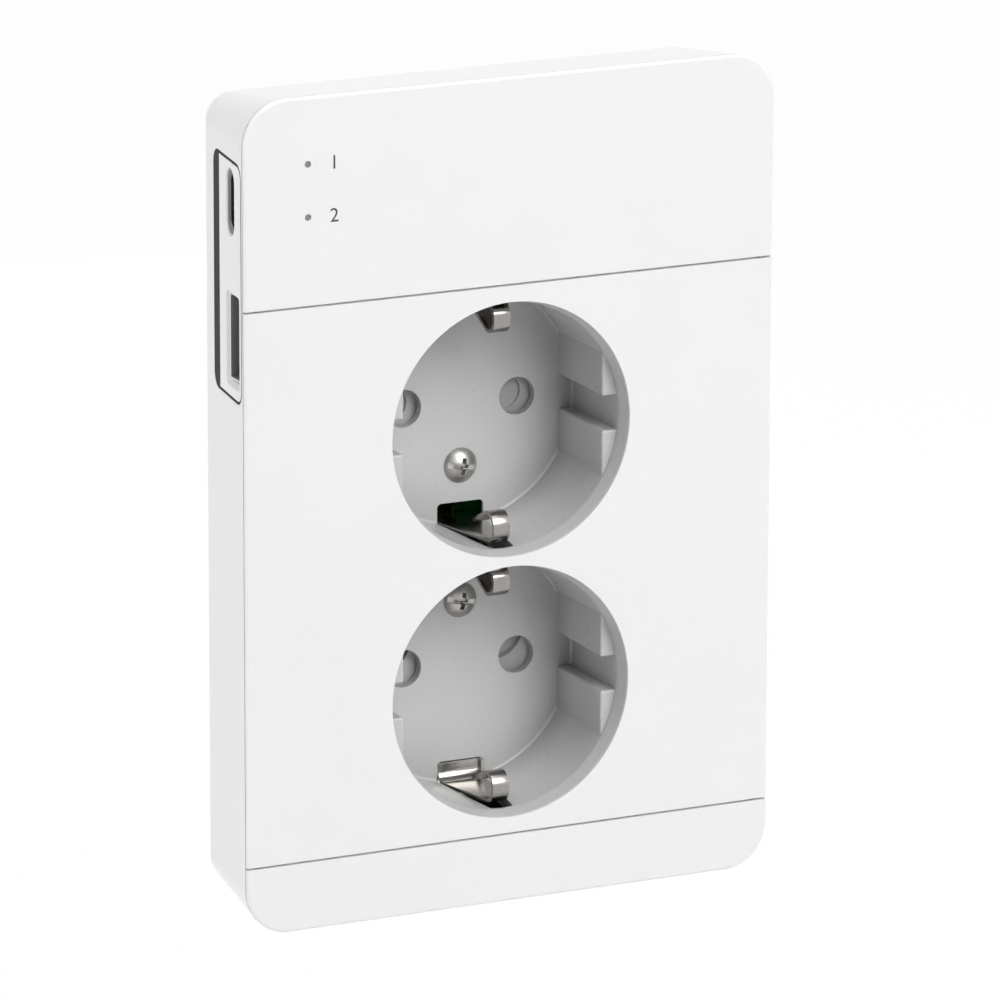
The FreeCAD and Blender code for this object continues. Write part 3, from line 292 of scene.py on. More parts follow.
@dataclass(frozen=True)
class RolledStrip(Finish):
    """Plated or bare metal strip, rolled before it was stamped.

    Rolling leaves fine lines along the strip, which stretch its highlights across them. Real lines are
    too fine to show, so they are drawn coarser.
    """

    roughness: float = 0.22
    line_mm: float = 0.12
    line_depth_mm: float = 0.0015
    along: tuple[float, float, float] = (0.04, 1.0, 0.04)
    metallic: float = 1.0
    mark_mm: float = 2.5
    mark_share: float = 0.88
    polish: tuple[float, float] = (-0.05, 0.06)
    # Painted shade in corners: how much colour a closed corner loses, and how near faces must be.
    corner_shade: float = 0.0
    corner_reach_mm: float = 6.0

    def surface(self, tree: bpy.types.NodeTree, where: bpy.types.NodeSocket) -> bpy.types.NodeSocket:
        """Adds the metal's rolling lines and faint handling marks.

        Args:
            tree: The material's node tree.
            where: Object coordinates in metres.

        Returns:
            The socket of the finished shader.
        """
        drawn = add_node(tree, "ShaderNodeMapping", {"Scale": self.along}, {"Vector": where})
        lines = add_node(
            tree,
            "ShaderNodeTexNoise",
            {"Scale": 1 / (self.line_mm * MM), "Detail": 3.0, "Roughness": 0.55},
            {"Vector": drawn.outputs["Vector"]},
        )
        bump = add_node(
            tree,
            "ShaderNodeBump",
            {"Strength": 0.5, "Distance": self.line_depth_mm * MM},
            {"Height": lines.outputs["Fac"]},
        )
        marks = add_node(
            tree,
            "ShaderNodeTexNoise",
            {"Scale": 1 / (self.mark_mm * MM), "Detail": 3.0, "Roughness": 0.6},
            {"Vector": where},
        )
        worn = add_node(tree, "ShaderNodeMapRange", NOISE_SPAN, {"Value": marks.outputs["Fac"]})
        colour = add_node(
            tree,
            "ShaderNodeMix",
            {"A": self.toned(self.mark_share), "B": self.toned(1)},
            {"Factor": worn.outputs["Result"]},
            data_type="RGBA",
        ).outputs["Result"]
        # Painted shade: the colour darkens where other faces stand close.
        if self.corner_shade:
            colour = self.paint_corner_shade(tree, colour, self.corner_shade, self.corner_reach_mm)
        low, high = (self.roughness + step for step in self.polish)
        polished = add_node(
            tree,
            "ShaderNodeMapRange",
            NOISE_SPAN | {"To Min": low, "To Max": high},
            {"Value": marks.outputs["Fac"]},
        )
        metal = add_node(
            tree,
            "ShaderNodeBsdfPrincipled",
            {"Metallic": self.metallic},
            {
                "Base Color": colour,
                "Roughness": polished.outputs["Result"],
                "Normal": bump.outputs["Normal"],
            },
        )
        return metal.outputs["BSDF"]


@dataclass(frozen=True)
class ZincSheet(Finish):
    """Zinc-plated steel sheet, whose crystals show as faint facets of differing gloss."""

    crystal_mm: float = 1.6
    dull_share: float = 0.8
    polish: tuple[float, float] = (0.32, 0.5)

    def surface(self, tree: bpy.types.NodeTree, where: bpy.types.NodeSocket) -> bpy.types.NodeSocket:
        """Adds the sheet's crystals.

        Args:
            tree: The material's node tree.
            where: Object coordinates in metres.

        Returns:
            The socket of the finished shader.
        """
        cells = add_node(
            tree,
            "ShaderNodeTexVoronoi",
            {"Scale": 1 / (self.crystal_mm * MM)},
            {"Vector": where},
        )
        facet = add_node(tree, "ShaderNodeSeparateColor", links={"Color": cells.outputs["Color"]})
        colour = add_node(
            tree,
            "ShaderNodeMix",
            {"A": self.toned(self.dull_share), "B": self.toned(1)},
            {"Factor": facet.outputs["Red"]},
            data_type="RGBA",
        )
        polished = add_node(
            tree,
            "ShaderNodeMapRange",
            {"To Min": self.polish[0], "To Max": self.polish[1]},
            {"Value": facet.outputs["Green"]},
        )
        metal = add_node(
            tree,
            "ShaderNodeBsdfPrincipled",
            {"Metallic": 1.0},
            {"Base Color": colour.outputs["Result"], "Roughness": polished.outputs["Result"]},
        )
        return metal.outputs["BSDF"]


@dataclass(frozen=True)
class SolderMask(Finish):
    """Green lacquer over copper tracks, which show through as lighter runs with raised edges."""

    track_mm: float = 1.3
    copper_mm: float = 0.03
    copper_gain: tuple[float, float, float] = (1.8, 1.6, 1.5)
    copper_red: float = 0.01

    def surface(self, tree: bpy.types.NodeTree, where: bpy.types.NodeSocket) -> bpy.types.NodeSocket:
        """Adds the lacquer over square runs of copper.

        Args:
            tree: The material's node tree.
            where: Object coordinates in metres.

        Returns:
            The socket of the finished shader.
        """
        runs = add_node(
            tree,
            "ShaderNodeTexBrick",
            {
                "Color1": (1, 1, 1, 1),
                "Color2": (0.7, 0.7, 0.7, 1),
                "Mortar": (0, 0, 0, 1),
                "Scale": 1 / (4 * self.track_mm * MM),
                "Mortar Size": 0.06,
                "Mortar Smooth": 0.2,
            },
            {"Vector": where},
        )
        red, green, blue = (c * gain for c, gain in zip(linear(self.colour), self.copper_gain))
        colour = add_node(
            tree,
            "ShaderNodeMix",
            {"A": self.toned(1), "B": (red + self.copper_red, green, blue, 1.0)},
            {"Factor": runs.outputs["Color"]},
            data_type="RGBA",
        )
        bump = add_node(
            tree,
            "ShaderNodeBump",
            {"Strength": 0.5, "Distance": self.copper_mm * MM},
            {"Height": runs.outputs["Color"]},
        )
        lacquer = add_node(
            tree,
            "ShaderNodeBsdfPrincipled",
            {"IOR": 1.5, "Roughness": 0.28},
            {"Base Color": colour.outputs["Result"], "Normal": bump.outputs["Normal"]},
        )
        return lacquer.outputs["BSDF"]


@dataclass(frozen=True)
class ClearAcrylic(Finish):
    """Clear moulded acrylic whose polished end looks grey where no lamp behind it is lit."""

    haze_mm: float = 0.4
    haze_colour: str = "#B9BABB"
    polish: tuple[float, float] = (0.12, 0.2)

    def surface(self, tree: bpy.types.NodeTree, where: bpy.types.NodeSocket) -> bpy.types.NodeSocket:
        """Adds the acrylic's slight haze.

        Args:
            tree: The material's node tree.
            where: Object coordinates in metres.

        Returns:
            The socket of the finished shader.
        """
        haze = add_node(
            tree,
            "ShaderNodeTexNoise",
            {"Scale": 1 / (self.haze_mm * MM), "Detail": 2.0},
            {"Vector": where},
        )
        colour = add_node(
            tree,
            "ShaderNodeMix",
            {"A": self.toned(1), "B": linear(self.haze_colour)},
            {"Factor": haze.outputs["Fac"]},
            data_type="RGBA",
        )
        polished = add_node(
            tree,
            "ShaderNodeMapRange",
            NOISE_SPAN | {"To Min": self.polish[0], "To Max": self.polish[1]},
            {"Value": haze.outputs["Fac"]},
        )
        body = add_node(
            tree,
            "ShaderNodeBsdfPrincipled",
            {"IOR": 1.49, "Transmission Weight": 0.45},
            {"Base Color": colour.outputs["Result"], "Roughness": polished.outputs["Result"]},
        )
        return body.outputs["BSDF"]


@dataclass(frozen=True)
class WoundTape(Finish):
    """Polyester tape wound round a coil, seen as thin turns with a glossy film."""

    pattern_mm: float = 4.8
    seam_share: float = 0.7

    def surface(self, tree: bpy.types.NodeTree, where: bpy.types.NodeSocket) -> bpy.types.NodeSocket:
        """Adds the tape's turns.

        Args:
            tree: The material's node tree.
            where: Object coordinates in metres.

        Returns:
            The socket of the finished shader.
        """
        turns = add_node(
            tree,
            "ShaderNodeTexWave",
            {"Scale": 1 / (self.pattern_mm * MM), "Distortion": 0.4},
            {"Vector": where},
            bands_direction="Y",
        )
        colour = add_node(
            tree,
            "ShaderNodeMix",
            {"A": self.toned(self.seam_share), "B": self.toned(1)},
            {"Factor": turns.outputs["Fac"]},
            data_type="RGBA",
        )
        film = add_node(
            tree,
            "ShaderNodeBsdfPrincipled",
            {"IOR": 1.6, "Roughness": 0.3},
            {"Base Color": colour.outputs["Result"]},
        )
        return film.outputs["BSDF"]


@dataclass(frozen=True)
class FloorPaint(Finish):
    """Matt white floor paint, which looks plain white and still takes the socket's shadow."""

    white_share: float = 0.98

    def surface(self, tree: bpy.types.NodeTree, where: bpy.types.NodeSocket) -> bpy.types.NodeSocket:
        """Adds the paint, and the plain white that is seen in its place.

        Args:
            tree: The material's node tree.
            where: Object coordinates in metres, which an even paint doesn't use.

        Returns:
            The socket of the finished shader.
        """
        paint = add_node(tree, "ShaderNodeBsdfDiffuse", {"Color": linear(self.colour)})
        white = add_node(tree, "ShaderNodeEmission", {"Color": (1, 1, 1, 1), "Strength": 1.0})
        share = add_node(
            tree, "ShaderNodeMath", {1: self.white_share}, {0: seen(tree)}, operation="MULTIPLY"
        )
        mixed = add_node(
            tree,
            "ShaderNodeMixShader",
            links={
                0: share.outputs["Value"],
                1: paint.outputs["BSDF"],
                2: white.outputs["Emission"],
            },
        )
        return mixed.outputs["Shader"]


class Paint(Enum):
    """Every finish on the socket, with what it tells the eye."""

    # White ABS, moulded in a satin tool: an even skin whose highlights are broad and soft.
    CASE = MouldedPlastic("white_abs_satin_moulded", "#EFEFEF", roughness=0.38)
    # Polycarbonate of the wells, moulded smooth and a little glossier than the case. Its grey is painted
    # shade that stands in for the shade deep in the wells, and its corners get more painted shade.
    WELL = MouldedPlastic(
        "well_polycarbonate_painted_shade",
        "#CCCCCC",
        roughness=0.3,
        ior=1.58,
        grain_mm=0.6,
        grain_depth_mm=0.0008,
        edge_mm=0.15,
        corner_shade=0.45,
    )
    # The shutters' polyamide is a shade darker and duller than the wells.
    SHUTTER = MouldedPlastic("grey_polyamide_moulded", "#BDBDBD", roughness=0.45)
    # Dark grey ABS inlay of the port field: smooth, with a low gloss.
    INLAY = MouldedPlastic("dark_grey_abs_moulded", "#2B2B29", roughness=0.6, tint=0.05, gloss=0.12)
    # Glass-filled polyamide is black, dull and slightly mottled by its fibres.
    BASE = MouldedPlastic(
        "black_polyamide_glass_filled",
        "#333335",
        roughness=0.55,
        grain_mm=0.5,
        grain_depth_mm=0.012,
        tint=0.25,
    )
    # Unfilled orange polyamide of the release levers has an oily gloss.
    LEVER = MouldedPlastic("orange_polyamide_moulded", "#D9702A", roughness=0.35, tint=0.05)
    # Pale silicone-filled resin of the indicator lamps.
    LAMP = MouldedPlastic("pale_resin_cast", "#F1EFDD", roughness=0.25, ior=1.42)
    # Dark shrunk sleeve of a capacitor: PVC with a soft gloss.
    SLEEVE = MouldedPlastic("navy_pvc_shrunk_sleeve", "#2B3048", roughness=0.3, ior=1.54)
    # Dark grey ink of the printed numbers: thin, flat and matt.
    INK = MouldedPlastic("dark_grey_pad_print_ink", "#3C3C3C", roughness=0.6, grain_mm=0.12)
    # Nickel-plated spring steel: warm grey, bright where a bend faces the light.
    STRIP = RolledStrip("nickel_plated_spring_steel", "#A3A09C", roughness=0.2)
    # Nickel-plated screw steel: turned and tumbled, so its marks run no way in particular.
    SCREW = RolledStrip(
        "nickel_plated_steel_tumbled",
        "#BEBCB8",
        roughness=0.4,
        line_mm=0.3,
        line_depth_mm=0.001,
        along=(1, 1, 1),
    )
    # Stainless steel of the small port's shell, drawn bright: it mirrors the dark inside.
    DRAWN_STEEL = RolledStrip(
        "stainless_steel_drawn",
        "#8F8F90",
        roughness=0.3,
        line_mm=0.15,
        line_depth_mm=0.001,
        along=(1, 0.05, 1),
    )
    # Tin-plated steel of the large port's shell: a dull grey skin that scatters what light gets in. Painted
    # shade darkens it deep inside the port, and its colour is lighter to make up for that near the opening.
    TINNED = RolledStrip(
        "tin_plated_steel_folded",
        "#E0DFDC",
        roughness=0.5,
        line_mm=0.15,
        line_depth_mm=0.001,
        along=(1, 0.05, 1),
        metallic=0.35,
        corner_shade=0.76,
        corner_reach_mm=12.0,
    )
    # The small port's flared lip: pale grey with hardly any reflection. Its grey is painted shade that
    # stands in for the shaded wall of the opening.
    LIP_PAINTED_SHADE = RolledStrip(
        "lip_grey_painted_shade",
        "#918F8C",
        roughness=0.55,
        line_mm=0.15,
        line_depth_mm=0.001,
        along=(1, 0.05, 1),
        metallic=0.2,
    )
    # Bright nickel of the large port's lip: a thin line that catches the lamps.
    BRIGHT_NICKEL = RolledStrip(
        "nickel_plated_lip_bright",
        "#E2E0DC",
        roughness=0.35,
        line_mm=0.15,
        line_depth_mm=0.001,
        along=(1, 0.05, 1),
        metallic=0.6,
    )
    # Bare brass of the contacts: yellow, with dull handling marks.
    BRASS = RolledStrip("bare_brass_stamped", "#C9A35A", roughness=0.26)
    # Zinc-plated steel of the mounting plate: cool grey in facets.
    ZINC = ZincSheet("zinc_plated_steel_sheet", "#AEB2B6")
    # Green solder mask over the board's copper: a glossy green that is lighter over the tracks.
    BOARD = SolderMask("green_solder_mask_on_copper", "#229A3C")
    # Clear acrylic of the light pipes: small grey dots in the white face.
    PIPE = ClearAcrylic("clear_acrylic_moulded", "#A2A3A4")
    # Yellow polyester tape over the transformer's winding: glossy, with darker seams.
    TAPE = WoundTape("yellow_polyester_tape", "#D8B23C")


class Paintbox:
    """Builds each finish once and hands out its material."""

    def __init__(self) -> None:
        """Starts with no material made."""
        self.made: dict[Paint, bpy.types.Material] = {}

    def material(self, paint: Paint) -> bpy.types.Material:
        """Looks a finish up, and builds it the first time.

        Args:
            paint: The finish.

        Returns:
            Its material.
        """
        if paint not in self.made:
            self.made[paint] = paint.value.build()
        return self.made[paint]

    def dress(self, piece: bpy.types.Object, paint: Paint) -> None:
        """Gives a piece one finish all over.

        Args:
            piece: The piece or CAD node.
            paint: Its finish.
        """
        piece.data.materials.clear()
        piece.data.materials.append(self.material(paint))


NODE_PAINT: dict[Paint, tuple[str, ...]] = {
    Paint.CASE: ("housing", "top_cover", "socket_cover", "bottom_cover", "port_panel"),
    Paint.WELL: ("well_moulding",),
    Paint.SHUTTER: ("upper_shutter", "lower_shutter"),
    Paint.INLAY: ("port_surround",),
    Paint.BASE: (
        "contact_base",
        "rear_cover",
        "usb_c_tongue",
        "usb_a_tongue",
        "charge_controller",
        "choke",
    ),
    Paint.LEVER: ("line_lever", "neutral_lever", "earth_lever"),
    Paint.LAMP: ("indicator_leds",),
    Paint.SLEEVE: ("input_capacitor", "output_capacitor"),
    Paint.STRIP: (
        "earth_clip_1",
        "earth_clip_2",
        "earth_clip_3",
        "earth_clip_4",
        "earth_strap",
        "clamp_springs",
        "upper_shutter_spring",
        "lower_shutter_spring",
    ),
    Paint.SCREW: ("upper_cover_screw", "lower_cover_screw", "base_screws", "board_screws"),
    Paint.DRAWN_STEEL: ("usb_c_shell",),
    Paint.TINNED: ("usb_a_shell",),
    Paint.BRASS: (
        "line_busbar",
        "neutral_busbar",
        "line_terminal",
        "neutral_terminal",
        "earth_terminal",
    ),
    Paint.ZINC: ("mounting_plate",),
    Paint.BOARD: ("power_board", "usb_board"),
    Paint.PIPE: ("upper_light_pipe", "lower_light_pipe"),
    Paint.TAPE: ("transformer",),
}


def finished_object(name: str, shape: bmesh.types.BMesh) -> bpy.types.Object:
    """Turns a bmesh into an object at the origin, smooth between faces that nearly line up.

    Args:
        name: The piece's name.
        shape: The bmesh, which is freed.

    Returns:
        The new object, linked to the scene.
    """
    mesh = bpy.data.meshes.new(name)
    shape.to_mesh(mesh)
    shape.free()
    mesh.shade_smooth()
    mesh.set_sharp_from_angle(angle=math.radians(SMOOTH_DEG))
    piece = bpy.data.objects.new(name, mesh)
    bpy.context.scene.collection.objects.link(piece)
    return piece


def round_edges(shape: bmesh.types.BMesh, edge_mm: float, segments: int, least_deg: float) -> None:
    """Rounds the edges at which two faces meet sharply.

    Args:
        shape: The bmesh to change.
        edge_mm: How far from the edge the rounding starts.
        segments: Facets across each rounded edge.
        least_deg: Smallest angle between two faces that counts as sharp.
    """
    sharp = [
        e
        for e in shape.edges
        if len(e.link_faces) == 2 and e.calc_face_angle(0.0) > math.radians(least_deg)
    ]
    bmesh.ops.bevel(
        shape,
        geom=sharp,
        offset=edge_mm * MM,
        offset_type="OFFSET",
        affect="EDGES",
        segments=segments,
        profile=0.5,
        material=-1,
        clamp_overlap=True,
    )


@dataclass
class EarthClips:
    """The four sprung earth clips, stamped from strip, with the rolled edges that catch the light."""

    paints: Paintbox
    count: int = 4
    edge_mm: float = 0.03
    edge_segments: int = 3
    flat_deg: float = 0.5
    sharp_deg: float = 40.0

    def build(self) -> list[bpy.types.Object]:
        """Makes the clips in place of the frame's plain ones.

        Returns:
            The four pieces.
        """
        made = []
        for number in range(1, self.count + 1):
            node = f"earth_clip_{number}"
            piece = self.sheet(node, f"earth_clip_sheet_{number}")
            self.paints.dress(piece, Paint.STRIP)
            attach(piece, node)
            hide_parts(node)
            made.append(piece)
        return made

    def sheet(self, node: str, name: str) -> bpy.types.Object:
        """Copies a clip's node and rolls its sharp edges.

        Args:
            node: The CAD node to copy.
            name: The new piece's name.

        Returns:
            The new piece, in the node's place.
        """
        shape = bmesh.new()
        shape.from_mesh(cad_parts[node].data)
        bmesh.ops.remove_doubles(shape, verts=shape.verts, dist=MERGE_MM * MM)
        bmesh.ops.dissolve_limit(
            shape, angle_limit=math.radians(self.flat_deg), verts=shape.verts, edges=shape.edges
        )
        round_edges(shape, self.edge_mm, self.edge_segments, self.sharp_deg)
        return finished_object(name, shape)


@dataclass
class CoverScrews:
    """The two screws that hold the well moulding, with a domed head, a slot and a cross recess."""

    paints: Paintbox
    head_r_mm: float = 2.8
    rise_mm: float = 1.5
    rim_mm: float = 0.05
    rim_chamfer_mm: tuple[float, float] = (0.04, 0.06)
    shank_r_mm: float = 1.45
    shank_l_mm: float = 6.0
    tip_mm: float = 0.6
    slot_l_mm: float = 8.0
    slot_w_mm: float = 0.86
    slot_depth_mm: float = 0.95
    cross_w_mm: float = 0.78
    cross_l_mm: float = 3.0
    cross_depth_mm: float = 1.75
    cross_taper: float = 0.7
    turn_deg: float = 9.5
    overshoot_mm: float = 0.6
    edge_mm: float = 0.04
    edge_segments: int = 2
    dome_steps: int = 14
    segments: int = 96
    seam_mm: float = 0.001

    def build(self) -> list[bpy.types.Object]:
        """Makes both screws in place of the frame's plain ones.

        Returns:
            The two pieces.
        """
        made = []
        for well in ("upper", "lower"):
            node = f"{well}_cover_screw"
            low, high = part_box(node)
            centre = (low + high) / 2
            tools = self.recess_tools(centre, low.y)
            piece = self.cut(self.head(centre, low.y), tools, f"{well}_screw_detail")
            self.paints.dress(piece, Paint.SCREW)
            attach(piece, "case")
            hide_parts(node)
            made.append(piece)
        return made

    def head(self, centre: Vector, top_y: float) -> bmesh.types.BMesh:
        """Spins the section of the head and its shank about the screw's axis.

        Args:
            centre: Middle of the screw's box.
            top_y: Depth of the top of its dome.

        Returns:
            The screw without its recess.
        """
        dome_r = (self.head_r_mm**2 + self.rise_mm**2) / (2 * self.rise_mm)
        radii = [self.head_r_mm * i / self.dome_steps for i in range(self.dome_steps)]
        back = self.rise_mm + self.rim_mm
        end = self.rise_mm + self.shank_l_mm
        section = [(r, dome_r - math.sqrt(dome_r**2 - r**2)) for r in radii]
        section += [
            (self.head_r_mm - self.rim_chamfer_mm[0], self.rise_mm - self.rim_chamfer_mm[1]),
            (self.head_r_mm, self.rise_mm),
            (self.head_r_mm, back),
            (self.shank_r_mm, back),
            (self.shank_r_mm, end),
            (0.0, end + self.tip_mm),
        ]
        shape = bmesh.new()
        corners = [
            shape.verts.new((centre.x + r * MM, top_y + depth * MM, centre.z)) for r, depth in section
        ]
        edges = [shape.edges.new(pair) for pair in zip(corners, corners[1:])]
        bmesh.ops.spin(
            shape,
            geom=corners + edges,
            cent=(centre.x, top_y, centre.z),
            axis=(0, 1, 0),
            angle=math.tau,
            steps=self.segments,
            use_merge=True,
        )
        bmesh.ops.remove_doubles(shape, verts=shape.verts, dist=self.seam_mm * MM)
        bmesh.ops.recalc_face_normals(shape, faces=shape.faces)
        return shape

    def recess_tools(self, centre: Vector, top_y: float) -> list[bmesh.types.BMesh]:
        """Makes the solids that the slot and the cross take away.

        Args:
            centre: Middle of the screw's box.
            top_y: Depth of the top of its dome.

        Returns:
            One bmesh for the slot, and one for each pair of the cross's arms.
        """
        blocks = (
            (self.slot_l_mm, self.slot_w_mm, self.slot_depth_mm, 1.0),
            (self.cross_w_mm, self.cross_l_mm, self.cross_depth_mm, self.cross_taper),
            (self.cross_l_mm, self.cross_w_mm, self.cross_depth_mm, self.cross_taper),
        )
        tools = [self.wedge(centre, top_y, *block) for block in blocks]
        turn = Matrix.Rotation(math.radians(self.turn_deg), 3, "Y")
        for tool in tools:
            bmesh.ops.rotate(tool, cent=centre, matrix=turn, verts=tool.verts)
        return tools

    def wedge(
        self, centre: Vector, top_y: float, width: float, height: float, depth: float, taper: float
    ) -> bmesh.types.BMesh:
        """Makes a block that narrows toward its floor.

        Args:
            centre: Middle of the screw's box.
            top_y: Depth of the top of its dome.
            width: Size along X at the top, in millimetres.
            height: Size along Z at the top, in millimetres.
            depth: How far it goes below the dome's top, in millimetres.
            taper: Size of its floor as a share of its top.

        Returns:
            The block.
        """
        size = (width * MM, (depth + self.overshoot_mm) * MM, height * MM)
        middle = Vector((centre.x, top_y + (depth - self.overshoot_mm) / 2 * MM, centre.z))
        block = bmesh.new()
        bmesh.ops.create_cube(block, size=1.0)
        bmesh.ops.scale(block, vec=size, verts=block.verts)
        floor = [v for v in block.verts if v.co.y > 0]
        bmesh.ops.scale(block, vec=(taper, 1, taper), verts=floor)
        bmesh.ops.translate(block, vec=middle, verts=block.verts)
        return block

    def cut(
        self, body: bmesh.types.BMesh, tools: list[bmesh.types.BMesh], name: str
    ) -> bpy.types.Object:
        """Takes the recess out of the head and breaks its edges.

        Args:
            body: The screw without its recess.
            tools: The solids to take away.
            name: The new piece's name.

        Returns:
            The finished screw.
        """
        piece = finished_object(name, body)
        for number, tool in enumerate(tools):
            taken = piece.modifiers.new("recess", "BOOLEAN")
            taken.operation = "DIFFERENCE"
            taken.solver = "EXACT"
            taken.object = finished_object(f"{name}_tool_{number}", tool)
        graph = bpy.context.evaluated_depsgraph_get()
        cut_mesh = bpy.data.meshes.new_from_object(piece.evaluated_get(graph))
        for taken in list(piece.modifiers):
            bpy.data.objects.remove(taken.object)
        bpy.data.objects.remove(piece)
        shape = bmesh.new()
        shape.from_mesh(cut_mesh)
        bpy.data.meshes.remove(cut_mesh)
        bmesh.ops.remove_doubles(shape, verts=shape.verts, dist=MERGE_MM * MM)
        round_edges(shape, self.edge_mm, self.edge_segments, SMOOTH_DEG)
        return finished_object(name, shape)


@dataclass(frozen=True)
class LipSize:
    """Sizes of one port's lip, in millimetres.

    The mouth and the throat are its outer and inner width along Y and Z. It starts and ends so far from the
    shell's outer end, along X.
    """

    port: str
    mouth: tuple[float, float]
    throat: tuple[float, float]
    corner: float
    start: float
    end: float
    paint: Paint


@dataclass
class PortLips:
    """Flared lips of the two port shells, which close the gap between each shell and its opening.

    The openings lie in the drafted left side, so each lip's rim slants as that side does.
    """

    paints: Paintbox
    wall_mm: float = 0.1
    draft: float = 2.75 / 19.35
    corner_steps: int = 10
    sizes: tuple[LipSize, ...] = (
        # The small port's lip is grey with painted shade; the large port's lip is bright nickel.
        LipSize("c", (3.9, 9.9), (3.2, 8.9), 1.9, -0.5, -0.03, Paint.LIP_PAINTED_SHADE),
        LipSize("a", (6.14, 13.54), (5.9, 13.3), 0.45, -0.12, 0.25, Paint.BRIGHT_NICKEL),
    )

    def build(self) -> list[bpy.types.Object]:
        """Makes a lip for each port, placed by its metal shell.

        Returns:
            The two lips.
        """
        made = []
        for size in self.sizes:
            piece = self.lip(size)
            self.paints.dress(piece, size.paint)
            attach(piece, "case")
            made.append(piece)
        return made

    def lip(self, size: LipSize) -> bpy.types.Object:
        """Draws a rounded outline inward to the shell and gives it its wall.

        Args:
            size: The lip's sizes.

        Returns:
            The lip.
        """
        low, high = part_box(f"usb_{size.port}_shell")
        mouth = Vector((low.x + size.start * MM, (low.y + high.y) / 2, (low.z + high.z) / 2))
        shape = bmesh.new()
        bmesh.ops.create_grid(shape, x_segments=1, y_segments=1, size=0.5)
        bmesh.ops.scale(shape, vec=(size.mouth[0] * MM, size.mouth[1] * MM, 1), verts=shape.verts)
        bmesh.ops.bevel(
            shape,
            geom=list(shape.verts),
            offset=size.corner * MM,
            offset_type="OFFSET",
            affect="VERTICES",
            segments=self.corner_steps,
            profile=0.5,
            material=-1,
        )
        bmesh.ops.delete(shape, geom=list(shape.faces), context="FACES_ONLY")
        # The outline's X becomes Y, its Y becomes Z, and X leans with the drafted side.
        lean = Matrix(((self.draft, 0, 1, 0), (1, 0, 0, 0), (0, 1, 0, 0), (0, 0, 0, 1)))
        bmesh.ops.transform(shape, matrix=lean, verts=shape.verts)
        drawn = bmesh.ops.extrude_edge_only(shape, edges=list(shape.edges))["geom"]
        inner = [v for v in drawn if isinstance(v, bmesh.types.BMVert)]
        shrink = (1, size.throat[0] / size.mouth[0], size.throat[1] / size.mouth[1])
        bmesh.ops.scale(shape, vec=shrink, verts=inner)
        bmesh.ops.translate(shape, vec=((size.end - size.start) * MM, 0, 0), verts=inner)
        bmesh.ops.translate(shape, vec=mouth, verts=shape.verts)
        bmesh.ops.recalc_face_normals(shape, faces=list(shape.faces))
        bmesh.ops.solidify(shape, geom=list(shape.faces), thickness=self.wall_mm * MM)
        bmesh.ops.recalc_face_normals(shape, faces=list(shape.faces))
        return finished_object(f"usb_{size.port}_lip", shape)


@dataclass
class PrintedNumbers:
    """Plain numbers beside the two indicator dots, printed on the top cover."""

    paints: Paintbox
    height_mm: float = 2.1
    gap_mm: float = 3.5
    ink_mm: float = 0.02
    font_cap_share: float = 0.7
    places: tuple[tuple[str, str], ...] = (("1", "upper_light_pipe"), ("2", "lower_light_pipe"))

    def build(self) -> list[bpy.types.Object]:
        """Prints one number beside each light pipe.

        Returns:
            The printed pieces.
        """
        made = []
        for number, pipe in self.places:
            piece = self.print_beside(number, pipe)
            self.paints.dress(piece, Paint.INK)
            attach(piece, "case")
            made.append(piece)
        return made

    def print_beside(self, number: str, pipe: str) -> bpy.types.Object:
        """Sets a number in type, makes it a mesh and stands it on the top cover's face.

        Args:
            number: The text.
            pipe: The light pipe that it belongs to.

        Returns:
            The print.
        """
        text = bpy.data.curves.new(f"number_{number}", "FONT")
        text.body = number
        text.size = self.height_mm * MM / self.font_cap_share
        text.extrude = self.ink_mm / 2 * MM
        holder = bpy.data.objects.new("text", text)
        bpy.context.scene.collection.objects.link(holder)
        graph = bpy.context.evaluated_depsgraph_get()
        mesh = bpy.data.meshes.new_from_object(holder.evaluated_get(graph))
        bpy.data.objects.remove(holder)
        low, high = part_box(pipe)
        centre = (low + high) / 2
        face_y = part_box("top_cover")[0].y
        where = (centre.x + self.gap_mm * MM, face_y, centre.z - self.height_mm / 2 * MM)
        stand = Matrix.Rotation(math.radians(90), 4, "X")
        mesh.transform(Matrix.Translation(where) @ stand)
        piece = bpy.data.objects.new(f"printed_number_{number}", mesh)
        bpy.context.scene.collection.objects.link(piece)
        return piece


@dataclass
class Lamp:
    """A square soft light that faces the socket. One that isn't mirrored shows in no reflection."""

    name: str
    toward: tuple[float, float, float]
    level: float
    size_m: float
    distance_m: float
    mirrored: bool = True

    def build(self, aim: Vector) -> bpy.types.Object:
        """Hangs the lamp.

        Args:
            aim: The point that it faces.

        Returns:
            The lamp's object.
        """
        light = bpy.data.lights.new(self.name, "AREA")
        light.shape = "SQUARE"
        light.size = self.size_m
        # A level of 1 lights a facing surface so that it renders in its own colour.
        light.energy = self.level * math.pi**2 * self.distance_m**2
        lamp = bpy.data.objects.new(self.name, light)
        lamp.visible_glossy = self.mirrored
        bpy.context.scene.collection.objects.link(lamp)
        direction = Vector(self.toward).normalized()
        lamp.location = aim + direction * self.distance_m
        lamp.rotation_mode = "QUATERNION"
        lamp.rotation_quaternion = (-direction).to_track_quat("-Z", "Y")
        return lamp


